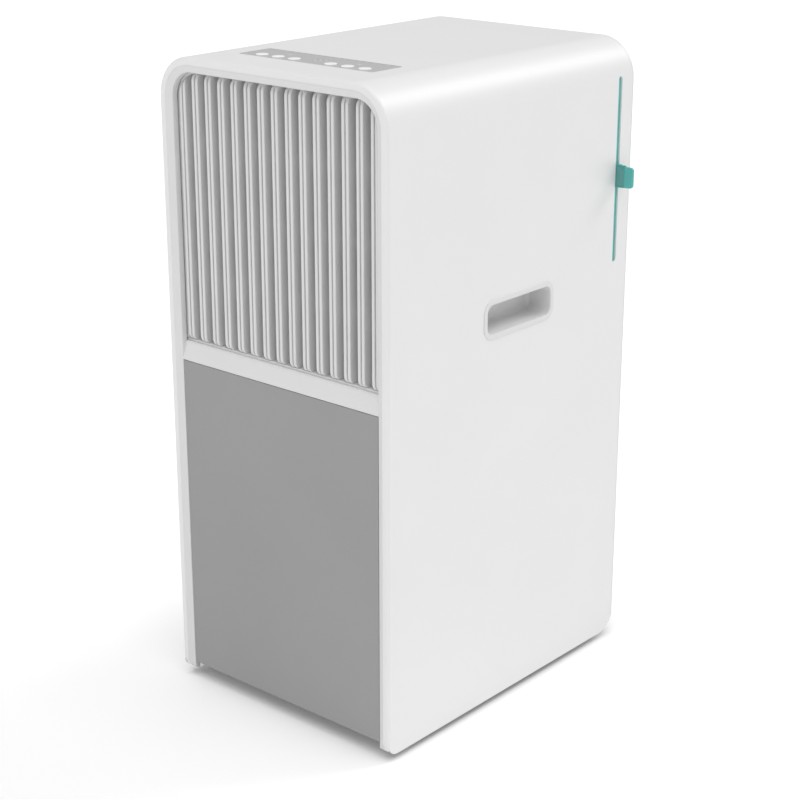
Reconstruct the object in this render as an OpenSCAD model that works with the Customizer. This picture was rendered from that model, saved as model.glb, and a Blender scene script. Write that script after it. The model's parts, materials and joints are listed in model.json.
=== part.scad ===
// Upright home dehumidifier on four hidden swivel casters.
// X runs to the right seen from the front, Y runs to the back and Z runs up.
// The origin is on the floor, under the middle of the cabinet. Millimetres.

/* [Cabinet] */
// Width across the side walls
body_w = 302; // [290:1:380]
// Depth from the bezel face to the rear skin
body_d = 395; // [385:1:480]
// Height of the cabinet, from its lower edge to the top
body_h = 680; // [640:1:820]
// Radius of the two long top edges
top_r = 42; // [36:1:46]
// Wall of the moulded cabinet
wall = 3; // [2.5:0.1:3.6]
// Floor to the cabinet's lower edge
ground_gap = 8; // [6:1:10]
// Rounding of the lower front corners, seen from the side
foot_front_r = 14; // [8:1:20]
// Rounding of the lower rear corners, seen from the side
foot_rear_r = 24; // [10:1:30]
// Thickness of the rear cover's skin
skin_t = 2.5; // [2:0.1:3]

/* [Front] */
// Width of the flat bezel face
lip_w = 7.7; // [7:0.1:10]
// Thickness of the bezel lip
lip_t = 4; // [3:0.1:5]
// Width of the sloping bevel inside the bezel
bevel_w = 7.7; // [6:0.1:9]
// Depth of that bevel
bevel_d = 3.5; // [2:0.1:4]
// Divider bar's lower edge above the cabinet's lower edge
divider_z = 363; // [350:1:375]
// Height of the divider bar
divider_h = 20; // [14:1:22]
// How far back the divider's face slopes
divider_slope = 5; // [2:0.1:5]
// Grey panel's lower edge above the cabinet's lower edge
panel_gap = 11; // [6:1:20]
// Thickness of the grey panel
panel_t = 3; // [2:0.1:3.5]

/* [Louvre] */
// Number of twin-rib bars
bars = 15; // [11:1:16]
// Thickness of one rib
rib_w = 3.6; // [2.5:0.1:4]
// Width of the groove between the two ribs of a bar
groove_w = 1.6; // [1:0.1:2]
// Depth of that groove
groove_d = 5; // [3:0.5:8]
// Depth of a bar
bar_d = 14; // [11:0.5:16]
// How far the bars stand behind the bezel face
bar_recess = 8.7; // [8.6:0.1:10]
// Rounding of a bar's two front ends
bar_end_r = 9; // [4:0.5:10]

/* [Filter] */
// Thickness of the filter frame
filter_t = 6; // [5:0.1:6.5]
// Middle of the filter to the rear face
filter_back = 25; // [24:0.5:28]
// Top of the filter slot below the cabinet's top
slot_drop = 37; // [36:1:60]
// Bottom of the filter slot above the deck
slot_sill = 56; // [50:1:80]
// How far the pull tab stands out of the cabinet
tab_out = 21; // [14:1:24]
// Height of the pull tab
tab_h = 25; // [16:1:30]

/* [Grips] */
// Length of the hand grip's rim
grip_l = 116; // [100:1:118]
// Height of the hand grip's rim
grip_h = 42; // [36:1:50]
// Width of the rim
grip_rim = 5.6; // [4:0.1:7]
// Depth of the pocket behind the wall
grip_depth = 27; // [20:1:30]
// Middle of the grip above the cabinet's lower edge
grip_z = 427; // [425:1:440]
// Middle of the grip behind the middle of the cabinet
grip_y = 5.5; // [-10:0.5:5.5]

/* [Controls] */
// Width of the control strip
strip_w = 178; // [170:1:190]
// Depth of the control strip
strip_d = 45; // [40:1:50]
// Middle of the strip behind the bezel face
strip_back = 72.5; // [65:0.5:90]
// Radius of a button cap
button_r = 6.6; // [5:0.1:7]
// Spacing of the three buttons in a group
button_pitch = 22; // [20:0.5:23]
// Middle to the nearest button
button_start = 24; // [20:0.5:26]
// Button row behind the bezel face
button_back = 63; // [60:0.5:66]
// Travel of a button
button_travel = 1; // [0.5:0.1:1]

/* [Tank] */
// Width of the water tank
tank_w = 230; // [200:1:234]
// Height of the tank body
tank_h = 204; // [160:1:206]
// Length of the tank from its inner end to the rear face
tank_l = 143.5; // [120:0.5:145]
// Wall of the tank
tank_wall = 2.5; // [2:0.1:3]
// Travel of the float
float_lift = 30; // [15:1:34]

/* [Casters] */
// Radius of a caster wheel
wheel_r = 18; // [15:0.5:18]
// Width of a caster wheel
wheel_w = 16; // [10:0.5:16]
// Distance from the swivel axis to the wheel's axle
trail = 12; // [8:0.5:12]
// Swivel axis to the side wall's outer face
caster_in_x = 41; // [41:1:50]
// Swivel axis to the front or rear face
caster_in_y = 47.5; // [47.5:0.5:60]

/* [Fits] */
// Gap between parts that stay put
gap = 0.3; // [0.2:0.05:0.4]
// Radial clearance of a turning shaft or pin
run_fit = 0.05; // [0.03:0.01:0.08]

/* [Hidden] */
$fn = 48;

// Cabinet planes
hw = body_w / 2;
hd = body_d / 2;
z_low = ground_gap;
z_top = ground_gap + body_h;
x_in = hw - wall;
rear_in = hd - skin_t;

// Front openings: the edge where the bevel ends
edge_u = lip_w + bevel_w;
open_x = hw - edge_u;
open_z1 = z_top - edge_u;
divider_z0 = z_low + divider_z;
divider_z1 = divider_z0 + divider_h;
return_d = 10;
return_t = 2.5;
flange_t = 2.5;

// Louvre bars
bar_w = 2 * rib_w + groove_w;
bar_side = 3.8;
bar_pitch = (2 * (open_x - bar_side) - bar_w) / (bars - 1);
bar_y = -hd + bar_recess;
bar_back = bar_y + bar_d;
ring_y = -hd + return_d + 1.5;
ring_out = 8.5;
ring_in = edge_u + 2.1;
tie_t = 2.5;

// Deck between the machine space and the air duct, with the drip tray on it
deck_t = 3;
deck_z = divider_z1 + 5;
deck_top = deck_z + deck_t;
tray_h = 20;
tray_wall = 2;

// Filter and its slot
slot_w = filter_t + 0.4;
slot_z1 = z_top - slot_drop;
slot_z0 = deck_z + slot_sill;
slot_y = hd - filter_back;
filter_gap = 0.3;
filter_x0 = -x_in + 7;
filter_x1 = x_in - 0.2;
filter_border = 9;
guide_t = 2.5;
tab_t = 3;
tab_drop = 5;
tab_z = (slot_z0 + slot_z1) / 2 - tab_drop;

// Coils: two finned blocks with an even number of tube passes, about pass_step apart
pass_step = 34;
plates = 16;
plate_t = 0.8;
coil_x0 = -x_in + 50;
coil_x1 = x_in - 36;
coil_z0 = deck_top + tray_h + 13;
coil_z1 = z_top - 46;
coil_edge = 18;
tube_r = 4.8;
tube_fit = 0.1;
pass_run = coil_z1 - coil_z0 - 2 * coil_edge - 4;
passes = 2 * floor((pass_run / pass_step + 1) / 2 + 0.01);
pass_pitch = pass_run / (passes - 1);
pass_z0 = coil_z0 + coil_edge + 2;
pass_z1 = pass_z0 + pass_run;
evap_y = hd - 49.5;
cond_y = hd - 82.5;
evap_t = 24;
cond_t = 30;
tube_end = 2;

// Fan: ring, rotor and motor on one axis through the middle of the louvre
fan_z = (divider_z1 + open_z1) / 2;
ring_r = min(x_in, (open_z1 - divider_z1) / 2) - 20;
ring_wall = 3;
bore_r = ring_r - ring_wall;
rotor_r = bore_r - 4;
hub_r = 34;
blades = 7;
blade_t = 2.5;
shroud_y = grip_y + grip_l / 2 + 2.5;
shroud_t = 2.5;
ring_len = 42.5;
ring_front = shroud_y + shroud_t - ring_len;
bracket_t = 5;
bracket_y = ring_front - bracket_t;
motor_r = 36;
motor_l = 46;
shaft_r = 4;
rotor_y0 = ring_front + 8;
rotor_y1 = rotor_y0 + 26;
nut_t = 6;
nut_r = 8;

// Compressor and pipes
base_z = 50;
base_t = 3;
floor_z = base_z + base_t;
skirt_t = 3;
base_wall_h = 22;
comp_x = -50;
comp_y = -hd + 77.5;
comp_r = 50;
comp_h = 140;
grommet_h = 10;
comp_foot_t = 3;
comp_z = floor_z + grommet_h + comp_foot_t;
comp_dome_h = 10;
comp_port_r = 9;
comp_top = comp_z + comp_h + comp_dome_h + 4;
foot_r = 60;
foot_angles = [30, 150, 270];
grommet_r = 9;
stud_r = 4;
acc_r = 18;
acc_x = comp_x + comp_r + acc_r + 4;
acc_z0 = comp_z + 22;
acc_z1 = acc_z0 + 100;
pipe_x = -x_in + 12;
pipe_y = cond_y - cond_t / 2 - 18;
suction_r = 5;
discharge_r = 4;
capillary_r = 1.5;
drier_r = 8;
suction_z = deck_z - 81;
discharge_z = deck_z - 36;
drier_z0 = pass_z0 + pass_pitch;
drier_z1 = pass_z0 + 3 * pass_pitch;

// Tank and its bay
bay_t = 2.5;
bay_floor_t = 2;
bay_over = 36;
tank_z0 = floor_z + bay_floor_t + 0.8;
tank_z1 = tank_z0 + tank_h;
fascia_t = 5;
fascia_y = hd - 0.3 - fascia_t;
tank_y0 = hd - tank_l;
bay_y0 = tank_y0 - 8;
bay_x = tank_w / 2 + 6;
pull_w = 110;
pull_h = 34;
pull_drop = 18;
lid_z0 = tank_z1 + 0.1;
lid_t = 3;
lid_z1 = lid_z0 + lid_t;
lid_hole_w = 60;
lid_hole_l = 28;
ear_r = 7;
bail_x = 88;
bail_y = tank_y0 + 74;
bail_z = lid_z1 + ear_r;
bail_r = 3;
bail_reach = 60;
ear_t = 6;
fascia_z1 = bail_z + 9;
spout_y = bail_y + 22;
spout_z = fascia_z1 + 8;
spout_r = 8;
spout_bore = 5.5;
float_x = 60;
// inner corners of the tank's floor
tank_chamfer = 4;
float_y = tank_y0 + 24;
post_r = 4;
float_w = 48;
float_d = 28;
float_h = 20;
float_room = 10;
float_z0 = tank_z1 - float_room - float_h - float_lift;

// Rear cover fittings
intake_x = 118;
intake_slot = 6;
intake_pitch = 11.5;
tank_gap = 0.6;
drain_x = 95;
drain_z = deck_z - 46;
cup_r = 22;
cup_depth = 18;
cup_wall = 2;
spigot_r = 7.9;
spigot_root_r = spigot_r + 0.7;
inlet_x = -95;
inlet_z = deck_z - 56;
inlet_w = 28;
inlet_h = 20;
inlet_depth = 23;
inlet_wall = 2;
pin_gap = 7;
screw_x = x_in - 7;
screw_zs = [z_low + 70, deck_z - 30, z_top - top_r - 30];
boss_l = filter_back - skin_t - filter_t / 2 - guide_t - gap;
boss_r = 5;
screw_r = 1.5;
head_r = 4;
head_t = 1.8;

// Controls
strip_y = -hd + strip_back;
strip_r = 4;
panel_drop = 0.5;
strip_lip = 4;
strip_lip_t = 2.3;
button_y = -hd + button_back;
cap_rise = 0.6;
cap_flange_r = button_r + 1.4;
cap_flange_t = 2;
cap_gap = 0.25;
lip_z0 = z_top - wall - gap - strip_lip_t;
cap_z0 = lip_z0 - gap - cap_flange_t;
switch_h = 3;
board_t = 1.6;
switch_top = cap_z0 - button_travel - 0.3;
board_z = switch_top - switch_h;
lens_w = 12;
lens_d = 14;
lens_y = -hd + 75;

// Mains board: its face to the wall, place and size, and the parts on it, each as
// height off the board, place along it, length, place up it, height
mains_off = 24;
mains_y = 47;
mains_z = 120;
mains_l = 130;
mains_h = 180;
mains_parts = [[28, 12, 40, 15, 45], [18, 70, 25, 90, 30], [12, 20, 30, 110, 32]];
cap_x = 84;
cap_y = 92.5;
cap_r = 18;
cap_h = 62;
sensor_w = 16;

// Casters
caster_x = hw - caster_in_x;
caster_y = hd - caster_in_y;
plate_h = 7;
plate_w = 46;
crown_t = 3.2;
crown_z = base_z - plate_h - gap - crown_t;
stem_r = 5;
axle_r = 3;
cheek_t = 2.5;
cheek_gap = 0.8;

// A block between two corners
module slab(x0, x1, y0, y1, z0, z1) {
    translate([x0, y0, z0]) cube([x1 - x0, y1 - y0, z1 - z0]);
}

// Extrudes an outline drawn in X and Z from y0 to y1
module along_y(y0, y1) {
    translate([0, y1, 0]) rotate([90, 0, 0]) linear_extrude(y1 - y0) children();
}

// Extrudes an outline drawn in Y and Z from x0 to x1
module along_x(x0, x1) {
    translate([x0, 0, 0]) rotate([90, 0, 90]) linear_extrude(x1 - x0) children();
}

// A rod along X, along Y or along Z
module rod_x(x0, x1, y, z, r) { translate([x0, y, z]) rotate([0, 90, 0]) cylinder(h = x1 - x0, r = r); }
module rod_y(y0, y1, x, z, r) { translate([x, y1, z]) rotate([90, 0, 0]) cylinder(h = y1 - y0, r = r); }
module rod_z(z0, z1, x, y, r) { translate([x, y, z0]) cylinder(h = z1 - z0, r = r); }

// A rectangle with round corners, on its middle
module round_rect(w, h, r) {
    square([w - 2 * r, h], center = true);
    square([w, h - 2 * r], center = true);
    for (i = [-1, 1], j = [-1, 1]) translate([i * (w / 2 - r), j * (h / 2 - r)]) circle(r);
}

// The cabinet's outline from the front, moved in by u, from z0 up
module arch(u, z0) {
    translate([-(hw - u), z0]) square([2 * (hw - u), z_top - top_r - z0]);
    translate([-(hw - top_r), z0]) square([2 * (hw - top_r), z_top - u - z0]);
    for (s = [-1, 1]) translate([s * (hw - top_r), z_top - top_r]) circle(top_r - u);
}

// The cabinet's outline from the side, with its round lower corners
module side_outline() {
    translate([-hd, z_low + foot_front_r]) square([foot_front_r, body_h - foot_front_r]);
    translate([-hd + foot_front_r, z_low]) square([body_d - foot_front_r - foot_rear_r, body_h]);
    translate([hd - foot_rear_r, z_low + foot_rear_r]) square([foot_rear_r, body_h - foot_rear_r]);
    translate([-hd + foot_front_r, z_low + foot_front_r]) circle(foot_front_r);
    translate([hd - foot_rear_r, z_low + foot_rear_r]) circle(foot_rear_r);
}

// Keeps what lies inside the side outline
module trim_feet() {
    intersection() {
        children();
        along_x(-hw - 1, hw + 1) side_outline();
    }
}

// A tube bent through round joints, along a list of points
module pipe(points, r) {
    for (i = [0 : len(points) - 2]) {
        a = points[i];
        v = points[i + 1] - a;
        l = norm(v);
        translate(a) rotate([0, acos(v[2] / l), atan2(v[1], v[0])]) cylinder(h = l, r = r);
        if (i > 0) translate(a) sphere(r);
    }
}

module cabinet_wrap() {
    color("whitesmoke") difference() {
        union() {
            trim_feet() difference() {
                along_y(-hd, rear_in - gap) arch(0, 0);
                along_y(-hd + lip_t, hd) arch(wall, -1);
                along_y(-hd - 1, hd) arch(lip_w, -1);
            }
            for (s = [-1, 1], z = screw_zs) screw_boss(s, z);
        }
        for (s = [-1, 1]) along_x(s > 0 ? x_in - 1 : -hw - 1, s > 0 ? hw + 1 : -x_in + 1)
            translate([grip_y, z_low + grip_z])
                round_rect(grip_l - 2 * grip_rim + 5, grip_h - 2 * grip_rim + 5, 11.5);
        along_x(x_in - 1, hw + 1) translate([slot_y, (slot_z0 + slot_z1) / 2])
            round_rect(slot_w, slot_z1 - slot_z0, slot_w / 2 - 0.01);
        translate([0, strip_y, z_top - wall - 1]) linear_extrude(wall + 2)
            round_rect(strip_w, strip_d, strip_r);
        for (s = [-1, 1], z = screw_zs) rod_y(rear_in - boss_l, hd, s * screw_x, z, screw_r + 0.1);
    }
}

module screw_boss(s, z) {
    y0 = rear_in - boss_l;
    rod_y(y0, rear_in - gap, s * screw_x, z, boss_r);
    slab(min(s * screw_x, s * (x_in + 1)), max(s * screw_x, s * (x_in + 1)),
        y0, rear_in - gap, z - 2, z + 2);
}

// The frame's section: u in from the cabinet's outside, v back from the bezel face
frame_section = [[lip_w + gap, 0], [edge_u, bevel_d], [edge_u, return_d],
    [edge_u - return_t, return_d], [edge_u - return_t, lip_t + gap + flange_t],
    [wall + gap, lip_t + gap + flange_t], [wall + gap, lip_t + gap], [lip_w + gap, lip_t + gap]];

module frame_side() {
    linear_extrude(z_top - top_r) polygon([for (p = frame_section) [hw - p[0], -hd + p[1]]]);
    translate([hw - top_r, -hd, z_top - top_r]) rotate([90, 0, 0]) rotate_extrude(angle = 90)
        polygon([for (p = frame_section) [top_r - p[0], -p[1]]]);
}

module front_frame() {
    color("gainsboro") trim_feet() {
        frame_side();
        mirror([1, 0, 0]) frame_side();
        along_x(-(hw - top_r), hw - top_r)
            polygon([for (p = frame_section) [-hd + p[1], z_top - p[0]]]);
        along_x(-open_x - 1, open_x + 1) polygon([[-hd + bevel_d, divider_z0],
            [-hd + bevel_d + divider_slope, divider_z1], [ring_y - 0.5, divider_z1],
            [ring_y - 0.5, divider_z0]]);
    }
}

module lower_front_panel() {
    y0 = -hd + bevel_d;
    z0 = z_low + panel_gap;
    color("darkgray") {
        slab(-open_x + gap, open_x - gap, y0, y0 + panel_t, z0, divider_z0 - gap);
        for (x = [-90, 0, 90]) slab(x - 2, x + 2, y0 + panel_t, y0 + panel_t + 3, z0 + 20, divider_z0 - 20);
    }
}

module bar_side_outline() {
    z0 = divider_z1 + 0.6;
    z1 = open_z1 - 0.6;
    translate([bar_y + bar_end_r, z0]) square([bar_d - bar_end_r, z1 - z0]);
    translate([bar_y, z0 + bar_end_r]) square([bar_d, z1 - z0 - 2 * bar_end_r]);
    for (z = [z0 + bar_end_r, z1 - bar_end_r]) translate([bar_y + bar_end_r, z]) circle(bar_end_r);
}

module louvre_grille() {
    color("silver") {
        intersection() {
            for (i = [0 : bars - 1]) {
                x = -open_x + bar_side + bar_w / 2 + i * bar_pitch;
                difference() {
                    along_x(x - bar_w / 2, x + bar_w / 2) bar_side_outline();
                    slab(x - groove_w / 2, x + groove_w / 2, bar_y - 1, bar_y + groove_d,
                        divider_z1 - 1, open_z1 + 1);
                }
            }
            along_y(bar_y - 1, bar_back + 1) arch(edge_u + 0.8, divider_z1);
        }
        along_y(ring_y, bar_back) difference() {
            arch(ring_out, divider_z1 - 6);
            arch(ring_in, divider_z1 + 2);
        }
        for (k = [1 : 3]) {
            z = divider_z1 + k * (open_z1 - divider_z1) / 4;
            slab(-open_x - 1, open_x + 1, bar_back - 0.5, bar_back + tie_t, z - 2, z + 2);
        }
    }
}

module rear_cover() {
    rows = floor((slot_z1 - slot_z0) / intake_pitch);
    color("whitesmoke") difference() {
        union() {
            trim_feet() along_y(rear_in, hd) arch(0, 0);
            rod_y(hd - cup_depth - cup_wall, hd, drain_x, drain_z, cup_r + cup_wall);
        }
        for (i = [0 : rows - 1]) {
            z = slot_z0 + (slot_z1 - slot_z0 - (rows - 1) * intake_pitch) / 2 + i * intake_pitch;
            slab(-intake_x, intake_x, rear_in - 1, hd + 1, z - intake_slot / 2, z + intake_slot / 2);
        }
        slab(-tank_w / 2 - tank_gap, tank_w / 2 + tank_gap, rear_in - 1, hd + 1,
            tank_z0 - tank_gap, fascia_z1 + tank_gap);
        rod_y(hd - cup_depth, hd + 1, drain_x, drain_z, cup_r);
        rod_y(hd - cup_depth - cup_wall - 1, hd, drain_x, drain_z, spigot_root_r + gap);
        slab(inlet_x - inlet_w / 2 - gap, inlet_x + inlet_w / 2 + gap, rear_in - 1, hd + 1,
            inlet_z - inlet_h / 2 - gap, inlet_z + inlet_h / 2 + gap);
        for (s = [-1, 1], z = screw_zs) {
            rod_y(rear_in - 1, hd + 1, s * screw_x, z, screw_r + 0.3);
            rod_y(hd - head_t - 0.1, hd + 1, s * screw_x, z, head_r + gap);
        }
    }
}

// A plate across the cabinet, with skirts below it on four sides and low walls on two
module base_tray() {
    y0 = -hd + return_d + 0.5;
    y1 = rear_in - gap;
    x1 = x_in - gap;
    color("dimgray") {
        slab(-x1, x1, y0, y1, base_z, floor_z);
        for (s = [-1, 1]) slab(s > 0 ? x1 - skirt_t : -x1, s > 0 ? x1 : -x1 + skirt_t,
            y0 + 20, y1 - 30, z_low + 6, floor_z + base_wall_h);
        slab(-x1 + 20, x1 - 20, y0, y0 + skirt_t, z_low + foot_front_r, base_z);
        slab(-x1, x1, y1 - skirt_t, y1, z_low + foot_rear_r + 2, base_z);
    }
}

// One hand grip: a rim on the wall and a closed pocket behind it, drawn for +X
module grip() {
    inner_l = grip_l - 2 * grip_rim;
    inner_h = grip_h - 2 * grip_rim;
    difference() {
        translate([0, grip_y, z_low + grip_z]) {
            along_x(hw + 0.05, hw + 0.9) round_rect(grip_l, grip_h, 14);
            along_x(x_in - grip_depth, hw + 0.1) round_rect(inner_l + 4, inner_h + 4, 11);
        }
        translate([0, grip_y, z_low + grip_z])
            along_x(x_in - grip_depth + 2, hw + 2) round_rect(inner_l, inner_h, 9);
    }
}

module grip_right() { color("gainsboro") grip(); }
module grip_left() { color("gainsboro") mirror([1, 0, 0]) grip(); }

function button_x(i) = (i < 3 ? -1 : 1) * (button_start + (i < 3 ? 2 - i : i - 3) * button_pitch);

module control_panel() {
    color("silver") difference() {
        union() {
            translate([0, strip_y, lip_z0 + strip_lip_t - 0.1])
                linear_extrude(z_top - panel_drop - lip_z0 - strip_lip_t + 0.1)
                    round_rect(strip_w - 2 * gap, strip_d - 2 * gap, strip_r - gap);
            translate([0, strip_y, lip_z0]) linear_extrude(strip_lip_t)
                round_rect(strip_w + 2 * strip_lip, strip_d + 2 * strip_lip, strip_r);
        }
        for (i = [0 : 5]) rod_z(lip_z0 - 1, z_top + 1, button_x(i), button_y, button_r + cap_gap);
        slab(-lens_w / 2, lens_w / 2, lens_y - lens_d / 2, lens_y + lens_d / 2, lip_z0 - 1, z_top + 1);
    }
}

module display_lens() {
    color("white") {
        slab(-lens_w / 2 + 0.1, lens_w / 2 - 0.1, lens_y - lens_d / 2 + 0.1, lens_y + lens_d / 2 - 0.1,
            lip_z0 + 1, z_top - panel_drop);
    }
}

module control_board() {
    color("green") {
        translate([0, strip_y, board_z - board_t]) linear_extrude(board_t)
            round_rect(strip_w - 4, strip_d - 4, 2);
        slab(-20, 20, strip_y + 4, strip_y + 16, board_z - board_t - 8, board_z - board_t);
    }
}

module button_switches() {
    color("black") for (i = [0 : 5]) {
        x = button_x(i);
        slab(x - 3, x + 3, button_y - 3, button_y + 3, board_z, switch_top - 0.8);
        rod_z(switch_top - 0.8, switch_top, x, button_y, 1.7);
    }
}

module button_cap(i) {
    x = button_x(i);
    color("white") {
        rod_z(cap_z0, cap_z0 + cap_flange_t, x, button_y, cap_flange_r);
        rod_z(cap_z0, z_top + cap_rise, x, button_y, button_r);
    }
}

module button_power() { button_cap(0); }
module button_mode() { button_cap(1); }
module button_speed() { button_cap(2); }
module button_timer() { button_cap(3); }
module button_down() { button_cap(4); }
module button_up() { button_cap(5); }

module filter_frame() {
    z0 = slot_z0 + filter_gap;
    z1 = slot_z1 - filter_gap;
    b = filter_border;
    y0 = slot_y - filter_t / 2;
    mid = (filter_x0 + filter_x1) / 2;
    color("lightseagreen") {
        difference() {
            along_x(filter_x0, filter_x1) translate([slot_y, (z0 + z1) / 2])
                round_rect(filter_t, z1 - z0, filter_t / 2 - 0.05);
            for (s = [0, 1]) {
                xa = s == 0 ? filter_x0 + b : mid + 2;
                xb = s == 0 ? mid - 2 : filter_x1 - b;
                slab(xa, xb, y0 - 1, y0 + filter_t + 1, z0 + b, z1 - b);
            }
            slab(filter_x0 + b - 3, filter_x1 - b + 3, slot_y + 0.4, y0 + filter_t + 1,
                z0 + b - 3, z1 - b + 3);
        }
        along_y(y0 + 0.6, y0 + 0.6 + tab_t) tab_outline();
    }
}

// The pull tab from the front: full height at the root, narrower at the tip
module tab_outline() {
    tip = hw + tab_out;
    r = 3;
    h = tab_h / 2;
    polygon([[filter_x1 - 1, tab_z - h], [hw + 2, tab_z - h], [tip - r, tab_z - h + 1.5],
        [tip, tab_z - h + 1.5 + r], [tip, tab_z + h - 3.5 - r], [tip - r, tab_z + h - 3.5],
        [hw + 6, tab_z + h - 1.5], [hw + 1, tab_z + h], [filter_x1 - 1, tab_z + h]]);
}

module filter_mesh() {
    z0 = slot_z0 + filter_gap;
    z1 = slot_z1 - filter_gap;
    b = filter_border - 2.7;
    color("lightgray") slab(filter_x0 + b, filter_x1 - b, slot_y + 0.5, slot_y + 1.3, z0 + b, z1 - b);
}

module filter_guide() {
    y0 = slot_y - filter_t / 2 - guide_t;
    y1 = slot_y + filter_t / 2 + guide_t;
    lap = 5;
    x_end = x_in - 6;
    color("whitesmoke") difference() {
        intersection() {
            union() {
                slab(-x_in, x_in, y0, y1, slot_z1 - lap, slot_z1 + 3);
                slab(-x_in, x_in, y0, y1, slot_z0 - 3, slot_z0 + lap);
                slab(-x_in, -x_end, y0, y1, slot_z0 - 3, slot_z1 + 3);
            }
            along_y(y0 - 1, y1 + 1) arch(wall + gap, 0);
        }
        slab(-x_end, x_in, slot_y - filter_t / 2 - gap, slot_y + filter_t / 2 + gap, slot_z0, slot_z1);
    }
}

module coil_fins(y, t) {
    step = (coil_x1 - coil_x0) / (plates - 1);
    difference() {
        for (i = [0 : plates - 1])
            slab(coil_x0 + i * step - plate_t / 2, coil_x0 + i * step + plate_t / 2,
                y - t / 2, y + t / 2, coil_z0, coil_z1);
        for (k = [0 : passes - 1])
            rod_x(coil_x0 - 5, coil_x1 + 5, y, pass_z0 + k * pass_pitch, tube_r + tube_fit);
    }
}

module coil_tubes(y) {
    for (k = [0 : passes - 1])
        rod_x(coil_x0 - tube_end, coil_x1 + tube_end, y, pass_z0 + k * pass_pitch, tube_r);
    for (k = [0 : passes - 2]) {
        side = k % 2 == 0 ? 1 : -1;
        x = side > 0 ? coil_x1 + tube_end : coil_x0 - tube_end;
        translate([x, y, pass_z0 + (k + 0.5) * pass_pitch]) rotate([90, 0, 0])
            rotate([0, 0, side > 0 ? -90 : 90]) rotate_extrude(angle = 180)
                translate([pass_pitch / 2, 0]) circle(tube_r);
    }
}

module evaporator_fins() { color("lightsteelblue") coil_fins(evap_y, evap_t); }
module evaporator_tubes() { color("peru") coil_tubes(evap_y); }
module condenser_fins() { color("lightsteelblue") coil_fins(cond_y, cond_t); }
module condenser_tubes() { color("peru") coil_tubes(cond_y); }

module drip_tray() {
    x0 = -x_in + 22;
    x1 = x_in - 8;
    y0 = cond_y - cond_t / 2 - 6;
    y1 = evap_y + evap_t / 2 + 6;
    color("lightgray") difference() {
        union() {
            slab(-x_in + gap, x_in - gap, bar_back + 6, rear_in - gap - boss_l - 2, deck_z, deck_top);
            slab(x0, x1, y0, y1, deck_z, deck_top + tray_h);
            rod_z(spout_z, deck_z + 1, 0, spout_y, spout_r);
        }
        slab(x0 + tray_wall, x1 - tray_wall, y0 + tray_wall, y1 - tray_wall, deck_top, deck_top + tray_h + 1);
        rod_z(spout_z - 1, deck_top + 1, 0, spout_y, spout_bore);
        rod_z(deck_z - 1, deck_top + 1, drain_x, spout_y, spout_bore);
        rod_z(deck_z - 1, deck_top + 1, pipe_x, pipe_y, discharge_r + 1);
        rod_z(deck_z - 1, deck_top + 1, pipe_x, evap_y, suction_r + 1);
    }
}

module fan_shroud() {
    color("lightgray") difference() {
        union() {
            along_y(shroud_y, shroud_y + shroud_t) arch(wall + gap + 0.1, deck_top + gap);
            rod_y(ring_front, shroud_y + 1, 0, fan_z, ring_r);
        }
        rod_y(ring_front - 1, shroud_y + shroud_t + 1, 0, fan_z, bore_r);
    }
}

module motor_bracket() {
    color("gray") along_y(bracket_y, ring_front) translate([0, fan_z]) difference() {
        union() {
            difference() {
                circle(ring_r);
                circle(bore_r - 2);
            }
            circle(motor_r + 4);
            for (a = [45, 135]) rotate(a) square([2 * bore_r - 1, 12], center = true);
        }
        circle(10);
    }
}

module fan_motor() {
    color("dimgray") difference() {
        union() {
            rod_y(bracket_y - motor_l, bracket_y, 0, fan_z, motor_r);
            rod_y(bracket_y - motor_l - 6, bracket_y - motor_l, 0, fan_z, 14);
        }
        rod_y(bracket_y - motor_l + 4, bracket_y + 1, 0, fan_z, shaft_r + run_fit);
    }
}

module motor_shaft() {
    color("silver") rod_y(bracket_y - motor_l + 4.5, rotor_y1 + nut_t + 1, 0, fan_z, shaft_r);
}

module fan_rotor() {
    color("white") difference() {
        union() {
            rod_y(rotor_y0, rotor_y1, 0, fan_z, hub_r);
            intersection() {
                for (i = [0 : blades - 1]) translate([0, (rotor_y0 + rotor_y1) / 2, fan_z])
                    rotate([0, i * 360 / blades, 0]) translate([rotor_r / 2 + 8, 0, 0])
                        rotate([38, 0, 0]) cube([rotor_r, blade_t, 60], center = true);
                rod_y(rotor_y0, rotor_y1, 0, fan_z, rotor_r);
            }
        }
        rod_y(rotor_y0 - 1, rotor_y1 + 1, 0, fan_z, shaft_r + 0.02);
        difference() {
            rod_y(rotor_y0 - 1, rotor_y1 - 4, 0, fan_z, hub_r - 3);
            rod_y(rotor_y0 - 2, rotor_y1, 0, fan_z, 10);
        }
    }
}

module fan_nut() {
    color("goldenrod") difference() {
        translate([0, rotor_y1 + nut_t, fan_z]) rotate([90, 0, 0]) cylinder(h = nut_t, r = nut_r, $fn = 6);
        rod_y(rotor_y1 - 1, rotor_y1 + nut_t + 1, 0, fan_z, shaft_r + 0.02);
    }
}

// The can, its domed lid and port, a round foot plate, and the accumulator on its bracket
module compressor() {
    color("black") {
        rod_z(comp_z, comp_z + comp_h, comp_x, comp_y, comp_r);
        translate([comp_x, comp_y, comp_z + comp_h]) cylinder(h = comp_dome_h, r1 = comp_r, r2 = comp_r - 14);
        rod_z(comp_z + comp_h, comp_top, comp_x, comp_y, comp_port_r);
        difference() {
            rod_z(comp_z - comp_foot_t, comp_z + 1, comp_x, comp_y, foot_r + 10);
            for (a = foot_angles) rod_z(comp_z - 10, comp_z + 10,
                comp_x + foot_r * cos(a), comp_y + foot_r * sin(a), stud_r + 0.2);
            rod_z(comp_z - 10, comp_z + 10, acc_x + 8, comp_y, acc_r);
        }
        rod_z(acc_z0, acc_z1, acc_x, comp_y, acc_r);
        slab(comp_x, acc_x, comp_y - 6, comp_y + 6, acc_z0 + 28, acc_z0 + 48);
    }
}

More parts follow.
